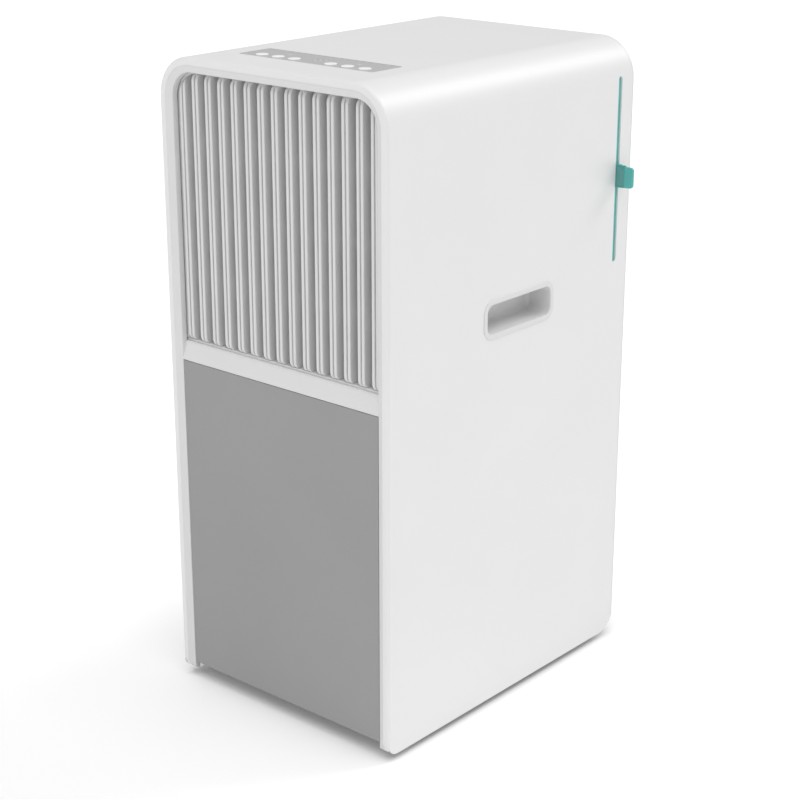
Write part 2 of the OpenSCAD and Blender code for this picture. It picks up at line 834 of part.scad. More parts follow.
module compressor_grommets() {
    color("black") for (a = foot_angles) {
        x = comp_x + foot_r * cos(a);
        y = comp_y + foot_r * sin(a);
        rod_z(floor_z, comp_z - comp_foot_t, x, y, grommet_r);
        rod_z(floor_z, comp_z + 6, x, y, stud_r);
    }
}

module suction_pipe() {
    color("peru") pipe([[coil_x0 - tube_end - 0.1, evap_y, pass_z0], [pipe_x, evap_y, pass_z0],
        [pipe_x, evap_y, suction_z], [pipe_x, comp_y + 100, suction_z],
        [acc_x, comp_y + 100, suction_z], [acc_x, comp_y, suction_z],
        [acc_x, comp_y, acc_z1 + 0.1]], suction_r);
}

module discharge_pipe() {
    color("peru") pipe([[comp_x, comp_y, comp_top + 0.1], [comp_x, comp_y, discharge_z],
        [pipe_x, comp_y, discharge_z], [pipe_x, pipe_y, discharge_z], [pipe_x, pipe_y, pass_z1],
        [pipe_x, cond_y, pass_z1], [coil_x0 - tube_end - 0.1, cond_y, pass_z1]], discharge_r);
}

module filter_drier() {
    color("peru") {
        rod_z(drier_z0, drier_z1, pipe_x, cond_y, drier_r);
        pipe([[coil_x0 - tube_end - 0.1, cond_y, pass_z0], [pipe_x, cond_y, pass_z0],
            [pipe_x, cond_y, drier_z0 + 1]], discharge_r);
    }
}

module capillary_tube() {
    z = drier_z1 + pass_pitch / 2;
    color("peru") pipe([[pipe_x, cond_y, drier_z1 + 0.1], [pipe_x, cond_y, z], [pipe_x, evap_y, z],
        [pipe_x, evap_y, pass_z1], [coil_x0 - tube_end - 0.1, evap_y, pass_z1]], capillary_r);
}

module tank_bay() {
    h = tank_h + bay_over;
    y1 = rear_in - gap - boss_l - 4;
    color("lightgray") {
        slab(-bay_x, bay_x, bay_y0, y1, floor_z + 0.1, floor_z + bay_floor_t);
        slab(-bay_x, bay_x, bay_y0, bay_y0 + bay_t, floor_z + 0.1, floor_z + h);
        for (s = [-1, 1]) slab(s > 0 ? bay_x - bay_t : -bay_x, s > 0 ? bay_x : -bay_x + bay_t,
            bay_y0, y1, floor_z + 0.1, floor_z + h);
    }
}

module tank() {
    x1 = tank_w / 2;
    w = tank_wall;
    color("gainsboro") {
        difference() {
            slab(-x1, x1, tank_y0, fascia_y + 0.5, tank_z0, tank_z1);
            along_x(-x1 + w, x1 - w) polygon([
                [tank_y0 + w + tank_chamfer, tank_z0 + w], [fascia_y - w - tank_chamfer, tank_z0 + w],
                [fascia_y - w, tank_z0 + w + tank_chamfer], [fascia_y - w, tank_z1 + 1],
                [tank_y0 + w, tank_z1 + 1], [tank_y0 + w, tank_z0 + w + tank_chamfer]]);
        }
        difference() {
            slab(-x1, x1, fascia_y, hd - 0.3, tank_z0, fascia_z1);
            along_y(fascia_y + 1.5, hd) translate([0, tank_z1 - pull_drop]) round_rect(pull_w, pull_h, 12);
        }
        rod_z(tank_z0 + 1, tank_z1 - 4, float_x, float_y, post_r);
        rod_z(float_z0 - 4, float_z0 - gap, float_x, float_y, post_r + 4);
    }
}

module tank_lid() {
    x1 = tank_w / 2;
    color("lightgray") difference() {
        union() {
            slab(-x1 + gap, x1 - gap, tank_y0 + gap, fascia_y - gap, lid_z0, lid_z1);
            for (s = [-1, 1]) {
                slab(s * bail_x - ear_t / 2, s * bail_x + ear_t / 2, bail_y - ear_r, bail_y + ear_r,
                    lid_z1 - 1, bail_z);
                rod_x(s * bail_x - ear_t / 2, s * bail_x + ear_t / 2, bail_y, bail_z, ear_r);
            }
        }
        for (s = [-1, 1]) rod_x(s * bail_x - ear_t, s * bail_x + ear_t, bail_y, bail_z, bail_r + run_fit);
        slab(-lid_hole_w / 2, lid_hole_w / 2, spout_y - lid_hole_l / 2, spout_y + lid_hole_l / 2,
            lid_z0 - 1, lid_z1 + 1);
    }
}

module tank_handle() {
    arm_x = bail_x + ear_t / 2 + 0.6;
    arm_t = 6;
    arm_r = 4;
    color("gray") {
        for (s = [-1, 1]) {
            x0 = s > 0 ? arm_x : -arm_x - arm_t;
            pin_x0 = s > 0 ? bail_x - ear_t / 2 : -arm_x - 1;
            slab(x0, x0 + arm_t, bail_y - bail_reach, bail_y, bail_z - arm_r, bail_z + arm_r);
            rod_x(x0, x0 + arm_t, bail_y, bail_z, arm_r);
            rod_x(pin_x0, pin_x0 + arm_x + 1 - bail_x + ear_t / 2, bail_y, bail_z, bail_r);
        }
        rod_x(-arm_x - arm_t, arm_x + arm_t, bail_y - bail_reach, bail_z, arm_r);
    }
}

module tank_float() {
    color("white") difference() {
        slab(float_x - float_w / 2, float_x + float_w / 2, float_y - float_d / 2, float_y + float_d / 2,
            float_z0, float_z0 + float_h);
        rod_z(float_z0 - 1, float_z0 + float_h + 1, float_x, float_y, post_r + 0.4);
    }
}

module float_switch() {
    color("black") {
        slab(float_x - 9, float_x + 9, bay_y0 - 9, bay_y0, float_z0 + 8, float_z0 + 30);
        rod_y(bay_y0 - 16, bay_y0 - 9, float_x, float_z0 + 19, 4);
    }
}

// The board stands on four posts, with a transformer, a relay and a coil on its inner side
module main_board() {
    x0 = x_in - mains_off;
    y0 = -hd + mains_y;
    y1 = y0 + mains_l;
    z1 = mains_z + mains_h;
    inset = 6;
    color("green") {
        slab(x0, x0 + board_t, y0, y1, mains_z, z1);
        for (p = mains_parts)
            slab(x0 - p[0], x0, y0 + p[1], y0 + p[1] + p[2], mains_z + p[3], mains_z + p[3] + p[4]);
        for (y = [y0 + inset, y1 - inset], z = [mains_z + inset, z1 - inset])
            rod_x(x0 + board_t - 0.1, x_in - gap, y, z, 3);
    }
}

module run_capacitor() {
    y = -hd + cap_y;
    z = floor_z + cap_h;
    color("silver") {
        rod_z(floor_z, z, cap_x, y, cap_r);
        for (s = [-1, 1]) slab(cap_x + s * 7 - 3, cap_x + s * 7 + 3, y - 0.5, y + 0.5, z, z + 10);
    }
}

module humidity_sensor() {
    y = slot_y - filter_t / 2 - guide_t;
    color("white") {
        slab(-x_in + 8, -x_in + 8 + sensor_w, y - 7, y, slot_z1 - 4, slot_z1 + 18);
        rod_y(y - 10, y - 7, -x_in + 8 + sensor_w / 2, slot_z1 + 8, 4);
    }
}

module power_inlet() {
    y0 = hd - 0.2 - inlet_depth;
    floor_y = y0 + 6;
    color("black") difference() {
        slab(inlet_x - inlet_w / 2, inlet_x + inlet_w / 2, y0, hd - 0.2,
            inlet_z - inlet_h / 2, inlet_z + inlet_h / 2);
        slab(inlet_x - inlet_w / 2 + inlet_wall, inlet_x + inlet_w / 2 - inlet_wall, floor_y, hd,
            inlet_z - inlet_h / 2 + inlet_wall, inlet_z + inlet_h / 2 - inlet_wall);
    }
    color("silver") for (p = [[-pin_gap, -2], [0, 2], [pin_gap, -2]])
        slab(inlet_x + p[0] - 0.8, inlet_x + p[0] + 0.8, floor_y - 1, floor_y + 7,
            inlet_z + p[1] - 2, inlet_z + p[1] + 2);
}

module drain_spigot() {
    y_cup = hd - cup_depth - cup_wall;
    color("gray") difference() {
        union() {
            rod_y(y_cup + cup_wall, hd - 4.5, drain_x, drain_z, spigot_r);
            rod_y(spout_y, y_cup + cup_wall + 0.5, drain_x, drain_z, spigot_root_r);
            rod_z(drain_z, deck_z - 0.1, drain_x, spout_y, spigot_root_r);
            translate([drain_x, spout_y, drain_z]) sphere(spigot_root_r);
        }
        rod_y(spout_y, hd, drain_x, drain_z, spout_bore);
        rod_z(drain_z, deck_z + 1, drain_x, spout_y, spout_bore);
    }
}

module drain_plug() {
    color("black") {
        rod_y(hd - 16, hd - 4, drain_x, drain_z, spout_bore - 0.1);
        rod_y(hd - 4.4, hd - 0.6, drain_x, drain_z, spigot_r - 0.6);
    }
}

module caster_plates() {
    color("dimgray") for (i = [-1, 1], j = [-1, 1]) translate([i * caster_x, j * caster_y, base_z - plate_h])
        difference() {
            translate([-plate_w / 2, -plate_w / 2, 0]) cube([plate_w, plate_w, plate_h]);
            translate([0, 0, -1]) cylinder(h = plate_h, r = stem_r + run_fit);
        }
}

module caster_fork(i, j) {
    half = wheel_w / 2 + cheek_gap;
    color("gray") translate([i * caster_x, j * caster_y, 0]) {
        translate([0, 0, crown_z]) cylinder(h = crown_t, r = 16);
        translate([0, 0, crown_z + crown_t - 0.5]) cylinder(h = plate_h - 0.6, r = stem_r);
        for (s = [-1, 1]) along_x(s > 0 ? half : -half - cheek_t, s > 0 ? half + cheek_t : -half)
            polygon([[-8, crown_z + 1], [trail - 6, wheel_r - 5], [trail, wheel_r - 7],
                [trail + 6, wheel_r - 5], [12, crown_z + 1]]);
        rod_x(-half - cheek_t, half + cheek_t, trail, wheel_r, axle_r);
    }
}

module caster_wheel(i, j) {
    color("black") translate([i * caster_x, j * caster_y + trail, wheel_r]) difference() {
        rotate([0, 90, 0]) cylinder(h = wheel_w, r = wheel_r, center = true);
        rotate([0, 90, 0]) cylinder(h = wheel_w + 2, r = axle_r + run_fit, center = true);
    }
}

module caster_fork_fl() { caster_fork(-1, -1); }
module caster_fork_fr() { caster_fork(1, -1); }
module caster_fork_rl() { caster_fork(-1, 1); }
module caster_fork_rr() { caster_fork(1, 1); }
module caster_wheel_fl() { caster_wheel(-1, -1); }
module caster_wheel_fr() { caster_wheel(1, -1); }
module caster_wheel_rl() { caster_wheel(-1, 1); }
module caster_wheel_rr() { caster_wheel(1, 1); }

module cover_screws() {
    color("silver") for (s = [-1, 1], z = screw_zs) {
        rod_y(hd - head_t, hd - 0.2, s * screw_x, z, head_r);
        rod_y(rear_in - 12, hd - head_t, s * screw_x, z, screw_r);
    }
}

cabinet_wrap();
front_frame();
lower_front_panel();
louvre_grille();
rear_cover();
base_tray();
grip_right();
grip_left();
control_panel();
display_lens();
control_board();
button_switches();
button_power();
button_mode();
button_speed();
button_timer();
button_down();
button_up();
filter_frame();
filter_mesh();
filter_guide();
evaporator_fins();
evaporator_tubes();
condenser_fins();
condenser_tubes();
drip_tray();
fan_shroud();
motor_bracket();
fan_motor();
motor_shaft();
fan_rotor();
fan_nut();
compressor();
compressor_grommets();
suction_pipe();
discharge_pipe();
capillary_tube();
filter_drier();
tank_bay();
tank();
tank_lid();
tank_handle();
tank_float();
float_switch();
main_board();
run_capacitor();
humidity_sensor();
power_inlet();
drain_spigot();
drain_plug();
caster_plates();
caster_fork_fl();
caster_fork_fr();
caster_fork_rl();
caster_fork_rr();
caster_wheel_fl();
caster_wheel_fr();
caster_wheel_rl();
caster_wheel_rr();
cover_screws();
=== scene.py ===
import json
import math

import bmesh
import bpy
from bpy.props import (
    FloatProperty,
    FloatVectorProperty,
    IntProperty,
    PointerProperty,
)
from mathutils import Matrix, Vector

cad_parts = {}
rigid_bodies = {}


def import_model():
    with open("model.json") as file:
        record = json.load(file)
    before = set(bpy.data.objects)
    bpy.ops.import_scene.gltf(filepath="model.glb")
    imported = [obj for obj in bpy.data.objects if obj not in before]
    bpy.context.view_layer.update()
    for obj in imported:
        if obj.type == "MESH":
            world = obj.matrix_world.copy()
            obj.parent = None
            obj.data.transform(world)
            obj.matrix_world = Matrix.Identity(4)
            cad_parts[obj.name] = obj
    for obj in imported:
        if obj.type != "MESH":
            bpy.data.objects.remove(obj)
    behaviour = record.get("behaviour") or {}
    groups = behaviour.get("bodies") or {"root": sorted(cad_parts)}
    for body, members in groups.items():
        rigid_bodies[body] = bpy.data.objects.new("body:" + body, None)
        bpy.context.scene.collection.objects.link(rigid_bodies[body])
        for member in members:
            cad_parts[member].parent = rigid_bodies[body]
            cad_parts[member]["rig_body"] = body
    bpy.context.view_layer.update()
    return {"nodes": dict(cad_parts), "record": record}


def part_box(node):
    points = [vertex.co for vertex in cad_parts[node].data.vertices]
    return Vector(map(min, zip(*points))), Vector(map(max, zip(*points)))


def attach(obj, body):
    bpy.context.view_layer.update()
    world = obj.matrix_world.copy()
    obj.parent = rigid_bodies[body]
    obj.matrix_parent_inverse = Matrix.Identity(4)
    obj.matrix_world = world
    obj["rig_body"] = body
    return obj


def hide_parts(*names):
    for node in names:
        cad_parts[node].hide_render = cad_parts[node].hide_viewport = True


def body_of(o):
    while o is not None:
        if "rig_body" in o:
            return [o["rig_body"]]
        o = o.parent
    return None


bl_info = {
    "name": "Upright Dehumidifier",
    "version": (1, 0, 0),
    "blender": (4, 5, 0),
    "location": "3D View > Sidebar > Dehumidifier",
    "description": "Builds the looks of an upright home dehumidifier around its packed frame",
    "category": "Object",
}

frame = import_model()
MM = 0.001
SLOTS = {p["node"]: p["material_slot"] for p in frame["record"]["subparts"]}


def box(name):
    """Lowest corner, highest corner and middle of a CAD node, in millimetres."""
    lo, hi = (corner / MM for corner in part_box(name))
    return lo, hi, [(a + b) / 2 for a, b in zip(lo, hi)]


# Planes of the cabinet in millimetres: half width, front, rear seam, lower edge, top and back
WRAP_LO, WRAP_HI, _ = box("cabinet_wrap")
HALF, FRONT, SEAM, LOW, TOP = WRAP_HI.x, WRAP_LO.y, WRAP_HI.y, WRAP_LO.z, WRAP_HI.z
BACK = box("rear_cover")[1].y
PANEL_TOP = box("lower_front_panel")[1].z

# Sizes that several pieces share, in millimetres
GRIPS = ((1, "grip_right"), (-1, "grip_left"))
FOOT_FRONT_R = 14
FOOT_REAR_R = 24
BEVEL = 7.7  # width of the bevelled ring inside the bezel
SCREW_X = HALF - 10  # the rear cover's screws, from the middle
POCKET = 18  # depth of the drain's pocket in the rear cover
OVER = 5  # how far a cutting tool stands out of what it cuts
MERGED = 0.0005  # points nearer than this are one

SOFT_ANGLE = math.radians(32)  # a corner sharper than this is softened
SHARP_ANGLE = math.radians(50)  # a softened edge still sharper than this stays crisp


def linear(code):
    """An sRGB hex colour as linear numbers."""
    parts = [int(code[i : i + 2], 16) / 255 for i in (1, 3, 5)]
    return tuple(c / 12.92 if c <= 0.04045 else ((c + 0.055) / 1.055) ** 2.4 for c in parts)


# ---------------------------------------------------------------- what a user would change


def length(name, text, default_mm, low=0.0, high=1000.0):
    return FloatProperty(
        name=name, description=text, default=default_mm * MM, min=low * MM, max=high * MM,
        unit="LENGTH", precision=4,
    )


def tint(name, text, code):
    return FloatVectorProperty(
        name=name, description=text, subtype="COLOR", size=3, min=0, max=1, default=linear(code)
    )


class CabinetLook(bpy.types.PropertyGroup):
    top_radius: length("Top Radius", "Radius of the two long top edges", 42)
    edge_round: length("Edge Round", "Rounding of the bezel's outer edge", 3)
    lip: length("Bezel Width", "Width of the flat bezel face", 7.7)
    wall: length("Wall", "Wall thickness of the moulded cabinet", 3)
    white: tint("Shell White", "Colour of the cabinet", "#e5e5e5")
    bezel: tint("Bezel White", "Colour of the front frame", "#dbdbdb")


class FrontLook(bpy.types.PropertyGroup):
    bars: IntProperty(name="Bars", description="Number of twin-rib bars", default=15, min=3, max=30)
    rib: length("Rib", "Width of one rib", 3.6)
    groove: length("Groove", "Width of the groove between the ribs", 1.6)
    groove_depth: length("Groove Depth", "Depth of that groove", 3)
    end_round: length("End Round", "Rounding of a bar's front ends", 9)
    louvre: tint("Louvre Grey", "Colour of the louvre", "#dadada")
    panel: tint("Panel Grey", "Colour of the lower panel", "#989898")


class ControlLook(bpy.types.PropertyGroup):
    button: length("Button Radius", "Radius of a button cap", 6.6)
    strip: tint("Strip Grey", "Colour of the control strip", "#b9b9b9")
    cap: tint("Cap White", "Colour of the buttons", "#fafafa")


class FilterLook(bpy.types.PropertyGroup):
    border: length("Border", "Width of the filter frame's border", 9)
    strand: length("Strand Spacing", "Spacing of the net's strands", 2.5)
    teal: tint("Filter Teal", "Colour of the filter frame", "#57b5b0")


class StageLook(bpy.types.PropertyGroup):
    lens: FloatProperty(name="Lens", description="Focal length on a 36 mm sensor, in mm", default=82.4)
    azimuth: FloatProperty(
        name="Azimuth", description="Turn of the camera to the right", subtype="ANGLE",
        default=math.radians(40.73),
    )
    pitch: FloatProperty(
        name="Pitch", description="How far the camera looks down", subtype="ANGLE",
        default=math.radians(19.40),
    )
    key: FloatProperty(name="Key", description="White level the key light gives face on", default=0.50)
    rim: FloatProperty(name="Rim", description="White level the light from behind gives", default=0.28)
    fill: FloatProperty(name="Fill", description="White level the light from the front gives", default=0.10)
    ambient: FloatProperty(name="Ambient", description="White level of the light all round", default=0.42)
    floor_glow: FloatProperty(name="Floor Glow", description="Light the floor gives by itself", default=0.11)
    floor: tint("Floor", "Colour of the floor", "#fbfbfb")


class DehumidifierLook(bpy.types.PropertyGroup):
    cabinet: PointerProperty(type=CabinetLook, name="Cabinet", description="The cabinet")
    front: PointerProperty(type=FrontLook, name="Front", description="Louvre and lower panel")
    controls: PointerProperty(type=ControlLook, name="Controls", description="Strip and buttons")
    filter: PointerProperty(type=FilterLook, name="Filter", description="The pull-out air filter")
    stage: PointerProperty(type=StageLook, name="Stage", description="Camera and floor")


def look():
    return bpy.context.scene.dehumidifier


# ---------------------------------------------------------------- node trees


def node(tree, kind, links=None, **settings):
    """Adds one node. settings are its own properties; links gives each input a value or a socket."""
    made = tree.nodes.new(kind)
    for key, value in settings.items():
        setattr(made, key, value)
    for key, value in (links or {}).items():
        for one in value if isinstance(value, list) else [value]:
            if isinstance(one, bpy.types.NodeSocket):
                tree.links.new(one, made.inputs[key])
            else:
                made.inputs[key].default_value = one
    return made


def maths(tree, operation, a, b=0.0):
    return node(tree, "ShaderNodeMath", {0: a, 1: b}, operation=operation).outputs[0]


def new_tree(name, **more):
    """A Geometry Nodes tree whose inputs are the geometry, an item, where its copies go, and more."""
    tree = bpy.data.node_groups.new(name, "GeometryNodeTree")
    kinds = {"Geometry": "Geometry", "Item": "Object", "Count": "Int", "Start": "Vector",
             "Step": "Vector", "Finish": "Material", **more}
    for key, kind in kinds.items():
        tree.interface.new_socket(key.replace("_", " "), in_out="INPUT", socket_type="NodeSocket" + kind)
    tree.interface.new_socket("Geometry", in_out="OUTPUT", socket_type="NodeSocketGeometry")
    return tree, node(tree, "NodeGroupInput").outputs


def copies(tree, given, **turned):
    """Copies of the item on Count points, from Start and Step apart."""
    line = node(tree, "GeometryNodeMeshLine", {
        "Count": given["Count"], "Start Location": given["Start"], "Offset": given["Step"],
    }, mode="OFFSET")
    item = node(tree, "GeometryNodeObjectInfo", {"Object": given["Item"]})
    return node(tree, "GeometryNodeInstanceOnPoints", {
        "Points": line.outputs[0], "Instance": item.outputs["Geometry"], **turned,
    }).outputs[0]


def close_tree(tree, given, geometry, joined=True):
    """Joins what is there if asked, and ends the tree in Realize Instances and Set Material."""
    if joined:
        both = [geometry, given["Geometry"]]
        geometry = node(tree, "GeometryNodeJoinGeometry", {"Geometry": both}).outputs[0]
    real = node(tree, "GeometryNodeRealizeInstances", {"Geometry": geometry}).outputs[0]
    done = node(tree, "GeometryNodeSetMaterial", {"Geometry": real, "Material": given["Finish"]})
    node(tree, "NodeGroupOutput", {"Geometry": done.outputs[0]})
    return tree


def row_tree():
    """Copies an item along a straight line and joins the copies to what is there."""
    tree, given = new_tree("Row Of Copies")
    return close_tree(tree, given, copies(tree, given))


def ring_tree():
    """Copies an item round an axis through Start and joins the copies to what is there."""
    tree, given = new_tree("Ring Of Copies", Axis="Vector")
    index = node(tree, "GeometryNodeInputIndex").outputs[0]
    angle = maths(tree, "MULTIPLY", maths(tree, "DIVIDE", index, given["Count"]), 2 * math.pi)
    turn = node(tree, "ShaderNodeVectorMath", {0: given["Axis"], "Scale": angle}, operation="SCALE")
    return close_tree(tree, given, copies(tree, given, Rotation=turn.outputs[0]))


def louvre_tree():
    """Sets bars side by side, and lowers the tops of those under the round corner to follow it."""
    tree, given = new_tree("Louvre Bars", Corner_X="Float", Corner_Radius="Float", Half_Height="Float")
    real = node(tree, "GeometryNodeRealizeInstances", {"Geometry": copies(tree, given)}).outputs[0]
    x, _, z = node(tree, "ShaderNodeSeparateXYZ", {
        0: node(tree, "GeometryNodeInputPosition").outputs[0],
    }).outputs
    radius = given["Corner Radius"]
    over = maths(tree, "SUBTRACT", maths(tree, "ABSOLUTE", x), given["Corner X"])
    over = maths(tree, "MAXIMUM", over)
    rest = maths(tree, "SUBTRACT", maths(tree, "POWER", radius, 2.0), maths(tree, "POWER", over, 2.0))
    fall = maths(tree, "SUBTRACT", radius, maths(tree, "SQRT", maths(tree, "MAXIMUM", rest)))
    upper = maths(tree, "GREATER_THAN", z, given["Half Height"])
    down = maths(tree, "MULTIPLY", maths(tree, "MULTIPLY", fall, upper), -1.0)
    move = node(tree, "ShaderNodeCombineXYZ", {2: down}).outputs[0]
    bent = node(tree, "GeometryNodeSetPosition", {"Geometry": real, "Offset": move})
    return close_tree(tree, given, bent.outputs[0])


def slots_tree():
    """Cuts a column of slots, shaped like the item, through what is there."""
    tree, given = new_tree("Column Of Slots")
    real = node(tree, "GeometryNodeRealizeInstances", {"Geometry": copies(tree, given)}).outputs[0]
    cut = node(tree, "GeometryNodeMeshBoolean", {"Mesh 1": given["Geometry"], "Mesh 2": real},
               operation="DIFFERENCE")
    return close_tree(tree, given, cut.outputs[0], joined=False)


TREES = {}


def repeat(ob, make, **values):
    """Adds one of the trees above to an object and sets its inputs by identifier."""
    if make not in TREES:
        TREES[make] = make()
    tree = TREES[make]
    modifier = ob.modifiers.new(tree.name, "NODES")
    modifier.node_group = tree
    for socket in tree.interface.items_tree:
        key = socket.name.lower().replace(" ", "_")
        if socket.in_out == "INPUT" and key in values:
            modifier[socket.identifier] = values.pop(key)
    if values:
        raise ValueError(f"{tree.name} has no input {sorted(values)}")


# ---------------------------------------------------------------- materials


def surface(name, light, dark, grain, rough, bump, patch=70, **shader):
    """A finish that drifts between two colours (hex or linear) over patch mm, with a skin of grains
    that many mm across and bump mm deep. shader gives the shader's own sockets."""
    light, dark = (linear(shade) if isinstance(shade, str) else shade for shade in (light, dark))
    material = bpy.data.materials.new(name)
    material.use_nodes = True
    tree = material.node_tree
    tree.nodes.clear()
    place = node(tree, "ShaderNodeTexCoord").outputs["Object"]
    drift = node(tree, "ShaderNodeTexNoise", {"Vector": place, "Scale": 1000 / patch, "Detail": 3.0})
    skin = node(tree, "ShaderNodeTexNoise", {"Vector": place, "Scale": 1000 / grain, "Detail": 2.0})
    colour = node(tree, "ShaderNodeValToRGB", {0: drift.outputs[0]})
    for stop, where, shade in zip(colour.color_ramp.elements, (0.35, 0.65), (dark, light)):
        stop.position, stop.color = where, (*shade, 1)
    gloss = node(tree, "ShaderNodeMapRange", {
        0: skin.outputs[0], 1: 0.3, 2: 0.7, 3: rough - 0.05, 4: rough + 0.05,
    })
    relief = node(tree, "ShaderNodeBump", {"Height": skin.outputs[0], "Strength": 1.0, "Distance": bump * MM})
    body = node(tree, "ShaderNodeBsdfPrincipled", {
        "Base Color": colour.outputs[0], "Roughness": gloss.outputs[0], "Normal": relief.outputs[0],
    })
    for key, value in shader.items():
        body.inputs[key.replace("_", " ")].default_value = value
    node(tree, "ShaderNodeOutputMaterial", {"Surface": body.outputs[0]})
    return material


def darker(colour, share):
    return tuple(c * share for c in colour)


def white_abs():
    """Satin moulded ABS: an even soft white with a skin too fine to see, drawn at 0.9 mm."""
    c = look().cabinet.white
    return surface("white_moulded_abs", c, darker(c, 0.985), 0.9, 0.42, 0.012, 120, IOR=1.53)


def bezel_abs():
    """The same ABS a shade cooler, a little smoother where the tool was polished."""
    c = look().cabinet.bezel
    return surface("bezel_moulded_abs", c, darker(c, 0.985), 0.8, 0.38, 0.01, 90, IOR=1.53)


def textured_abs():
    """Matt ABS with a spark-eroded texture: a fine sandy grain that kills reflections."""
    c = look().front.panel
    return surface("grey_textured_abs", c, darker(c, 0.97), 2.2, 0.6, 0.11, 160, IOR=1.5)


def louvre_abs():
    """Satin grey ABS, drawn from the tool along each rib."""
    c = look().front.louvre
    return surface("louvre_moulded_abs", c, darker(c, 0.98), 0.8, 0.45, 0.012, 60, IOR=1.5)


def strip_abs():
    """Silk-gloss ABS with a faint sheen on the control strip."""
    c = look().controls.strip
    return surface("strip_silk_abs", c, darker(c, 0.98), 0.5, 0.32, 0.006, 40, IOR=1.53)


def cap_abs():
    """Glossy white ABS, rounded so that each cap carries a highlight."""
    c = look().controls.cap
    return surface("glossy_cap_abs", c, darker(c, 0.985), 0.6, 0.25, 0.003, 12, IOR=1.53)


def window_acrylic():
    """Smoked-clear acrylic over a white mask: a smooth face, a touch darker than the strip."""
    c = darker(look().controls.strip, 0.97)
    return surface("window_acrylic", c, darker(c, 0.96), 0.5, 0.16, 0.002, 15, IOR=1.49)


def dot_white():
    """Light pipes seen end on: bright polished dots."""
    return surface("light_pipe_acrylic", "#fcfcfc", "#f2f2f2", 0.4, 0.2, 0.001, 4)


def teal_abs():
    """Teal polypropylene, slightly translucent where it is thin."""
    c = look().filter.teal
    return surface("teal_polypropylene", c, darker(c, 0.9), 0.7, 0.38, 0.012, 30,
                   Subsurface_Weight=0.04, Subsurface_Radius=(0.002, 0.004, 0.004))


def soft_teal():
    """Soft-touch grip pad, a deeper and duller teal than the frame."""
    c = darker(look().filter.teal, 0.62)
    return surface("teal_soft_pad", c, darker(c, 0.93), 0.6, 0.6, 0.02, 12)


def teal_dot_painted_highlight():
    """The same polypropylene, lightened on the small grip dots: a painted highlight where they catch the
    light.
    """
    c = tuple(0.55 * v + 0.3 for v in look().filter.teal)
    return surface("teal_grip_dots", c, darker(c, 0.9), 0.5, 0.35, 0.004, 10)


def filter_nylon():
    """Pale grey nylon monofilament, faintly shiny along each strand."""
    return surface("nylon_monofilament", "#c9cccb", "#b4b8b7", 0.4, 0.35, 0.004, 20)


def duct_pp():
    """Natural polypropylene, waxy and off-white."""
    return surface("natural_polypropylene", "#d9d9d6", "#cccdc9", 0.9, 0.45, 0.015, 80,
                   Subsurface_Weight=0.03, Subsurface_Radius=(0.003, 0.003, 0.003))


def tray_pp():
    """Charcoal filled polypropylene with a dull moulded skin."""
    return surface("charcoal_polypropylene", "#55575a", "#4b4d50", 0.9, 0.55, 0.03, 90)


def coil_aluminium():
    """Rolled aluminium fin stock: bright, with faint rolling lines."""
    return surface("rolled_aluminium", "#dfe3e6", "#c8cdd1", 1.2, 0.34, 0.004, 25,
                   Metallic=1.0, Anisotropic=0.4)


def pipe_copper():
    """Drawn copper, warm and lightly oxidised in patches."""
    return surface("drawn_copper", "#d98f62", "#b0653c", 1.5, 0.34, 0.006, 22, Metallic=1.0)


def bracket_steel():
    """Zinc-plated steel with the cloudy blue-grey of passivation."""
    return surface("zinc_plated_steel", "#c3c7ca", "#a5abb0", 2.0, 0.4, 0.006, 16,
                   Metallic=1.0)


def shaft_steel():
    """Ground steel, finely scored round its axis."""
    return surface("ground_steel", "#cfd1d3", "#b9bcbf", 0.5, 0.22, 0.002, 10, Metallic=1.0)


def fan_pp():
    """Glossy white polypropylene blades."""
    return surface("white_fan_polypropylene", "#e6e7e8", "#dadbdd", 0.8, 0.33, 0.006, 40)


def nut_brass():
    """Turned brass."""
    return surface("turned_brass", "#d8b25c", "#b98f3f", 0.6, 0.28, 0.004, 8, Metallic=1.0)


def compressor_enamel():
    """Black stoving enamel, orange-peeled over pressed steel."""
    return surface("black_enamel", "#26282a", "#1f2022", 3.0, 0.3, 0.02, 90, Coat_Weight=0.3)


def rubber():
    """Matt black rubber with dusty highlights."""
    return surface("black_rubber", "#2e2f30", "#242526", 0.7, 0.72, 0.03, 12)


def tank_san():
    """Frosted white tank plastic, a little see-through at its walls."""
    return surface("frosted_tank_plastic", "#dde1e3", "#d9dddf", 0.8, 0.36, 0.01, 150,
                   Subsurface_Weight=0.08, Subsurface_Radius=(0.004, 0.004, 0.004))


def lid_pp():
    """Grey polypropylene lid."""
    return surface("grey_lid_polypropylene", "#b9bcbe", "#aeb1b3", 0.8, 0.45, 0.012, 50)


def handle_abs():
    """Mid-grey ABS, satin where hands touch it."""
    return surface("grey_handle_abs", "#8e9194", "#84878a", 0.8, 0.42, 0.012, 40)


def float_foam():
    """Closed-cell foam with a pebbled skin."""
    return surface("closed_cell_foam", "#f0f0ec", "#dededa", 1.6, 0.75, 0.12, 10)


def board_laminate():
    """Green solder mask on glass laminate, with the weave just showing."""
    return surface("green_solder_mask", "#2a7a4b", "#1f6a3e", 1.4, 0.3, 0.02, 14)


def switch_black():
    """Black switch plastic."""
    return surface("black_switch_plastic", "#232425", "#1a1b1c", 0.6, 0.4, 0.008, 10)


def capacitor_can():
    """Drawn aluminium can, satin."""
    return surface("drawn_aluminium_can", "#cdd0d2", "#bcc0c3", 0.8, 0.3, 0.004, 20,
                   Metallic=1.0)


def tyre():
    """Dark grey thermoplastic tread, dull and slightly scuffed."""
    return surface("caster_tread", "#3b3c3e", "#303133", 0.9, 0.6, 0.04, 14)


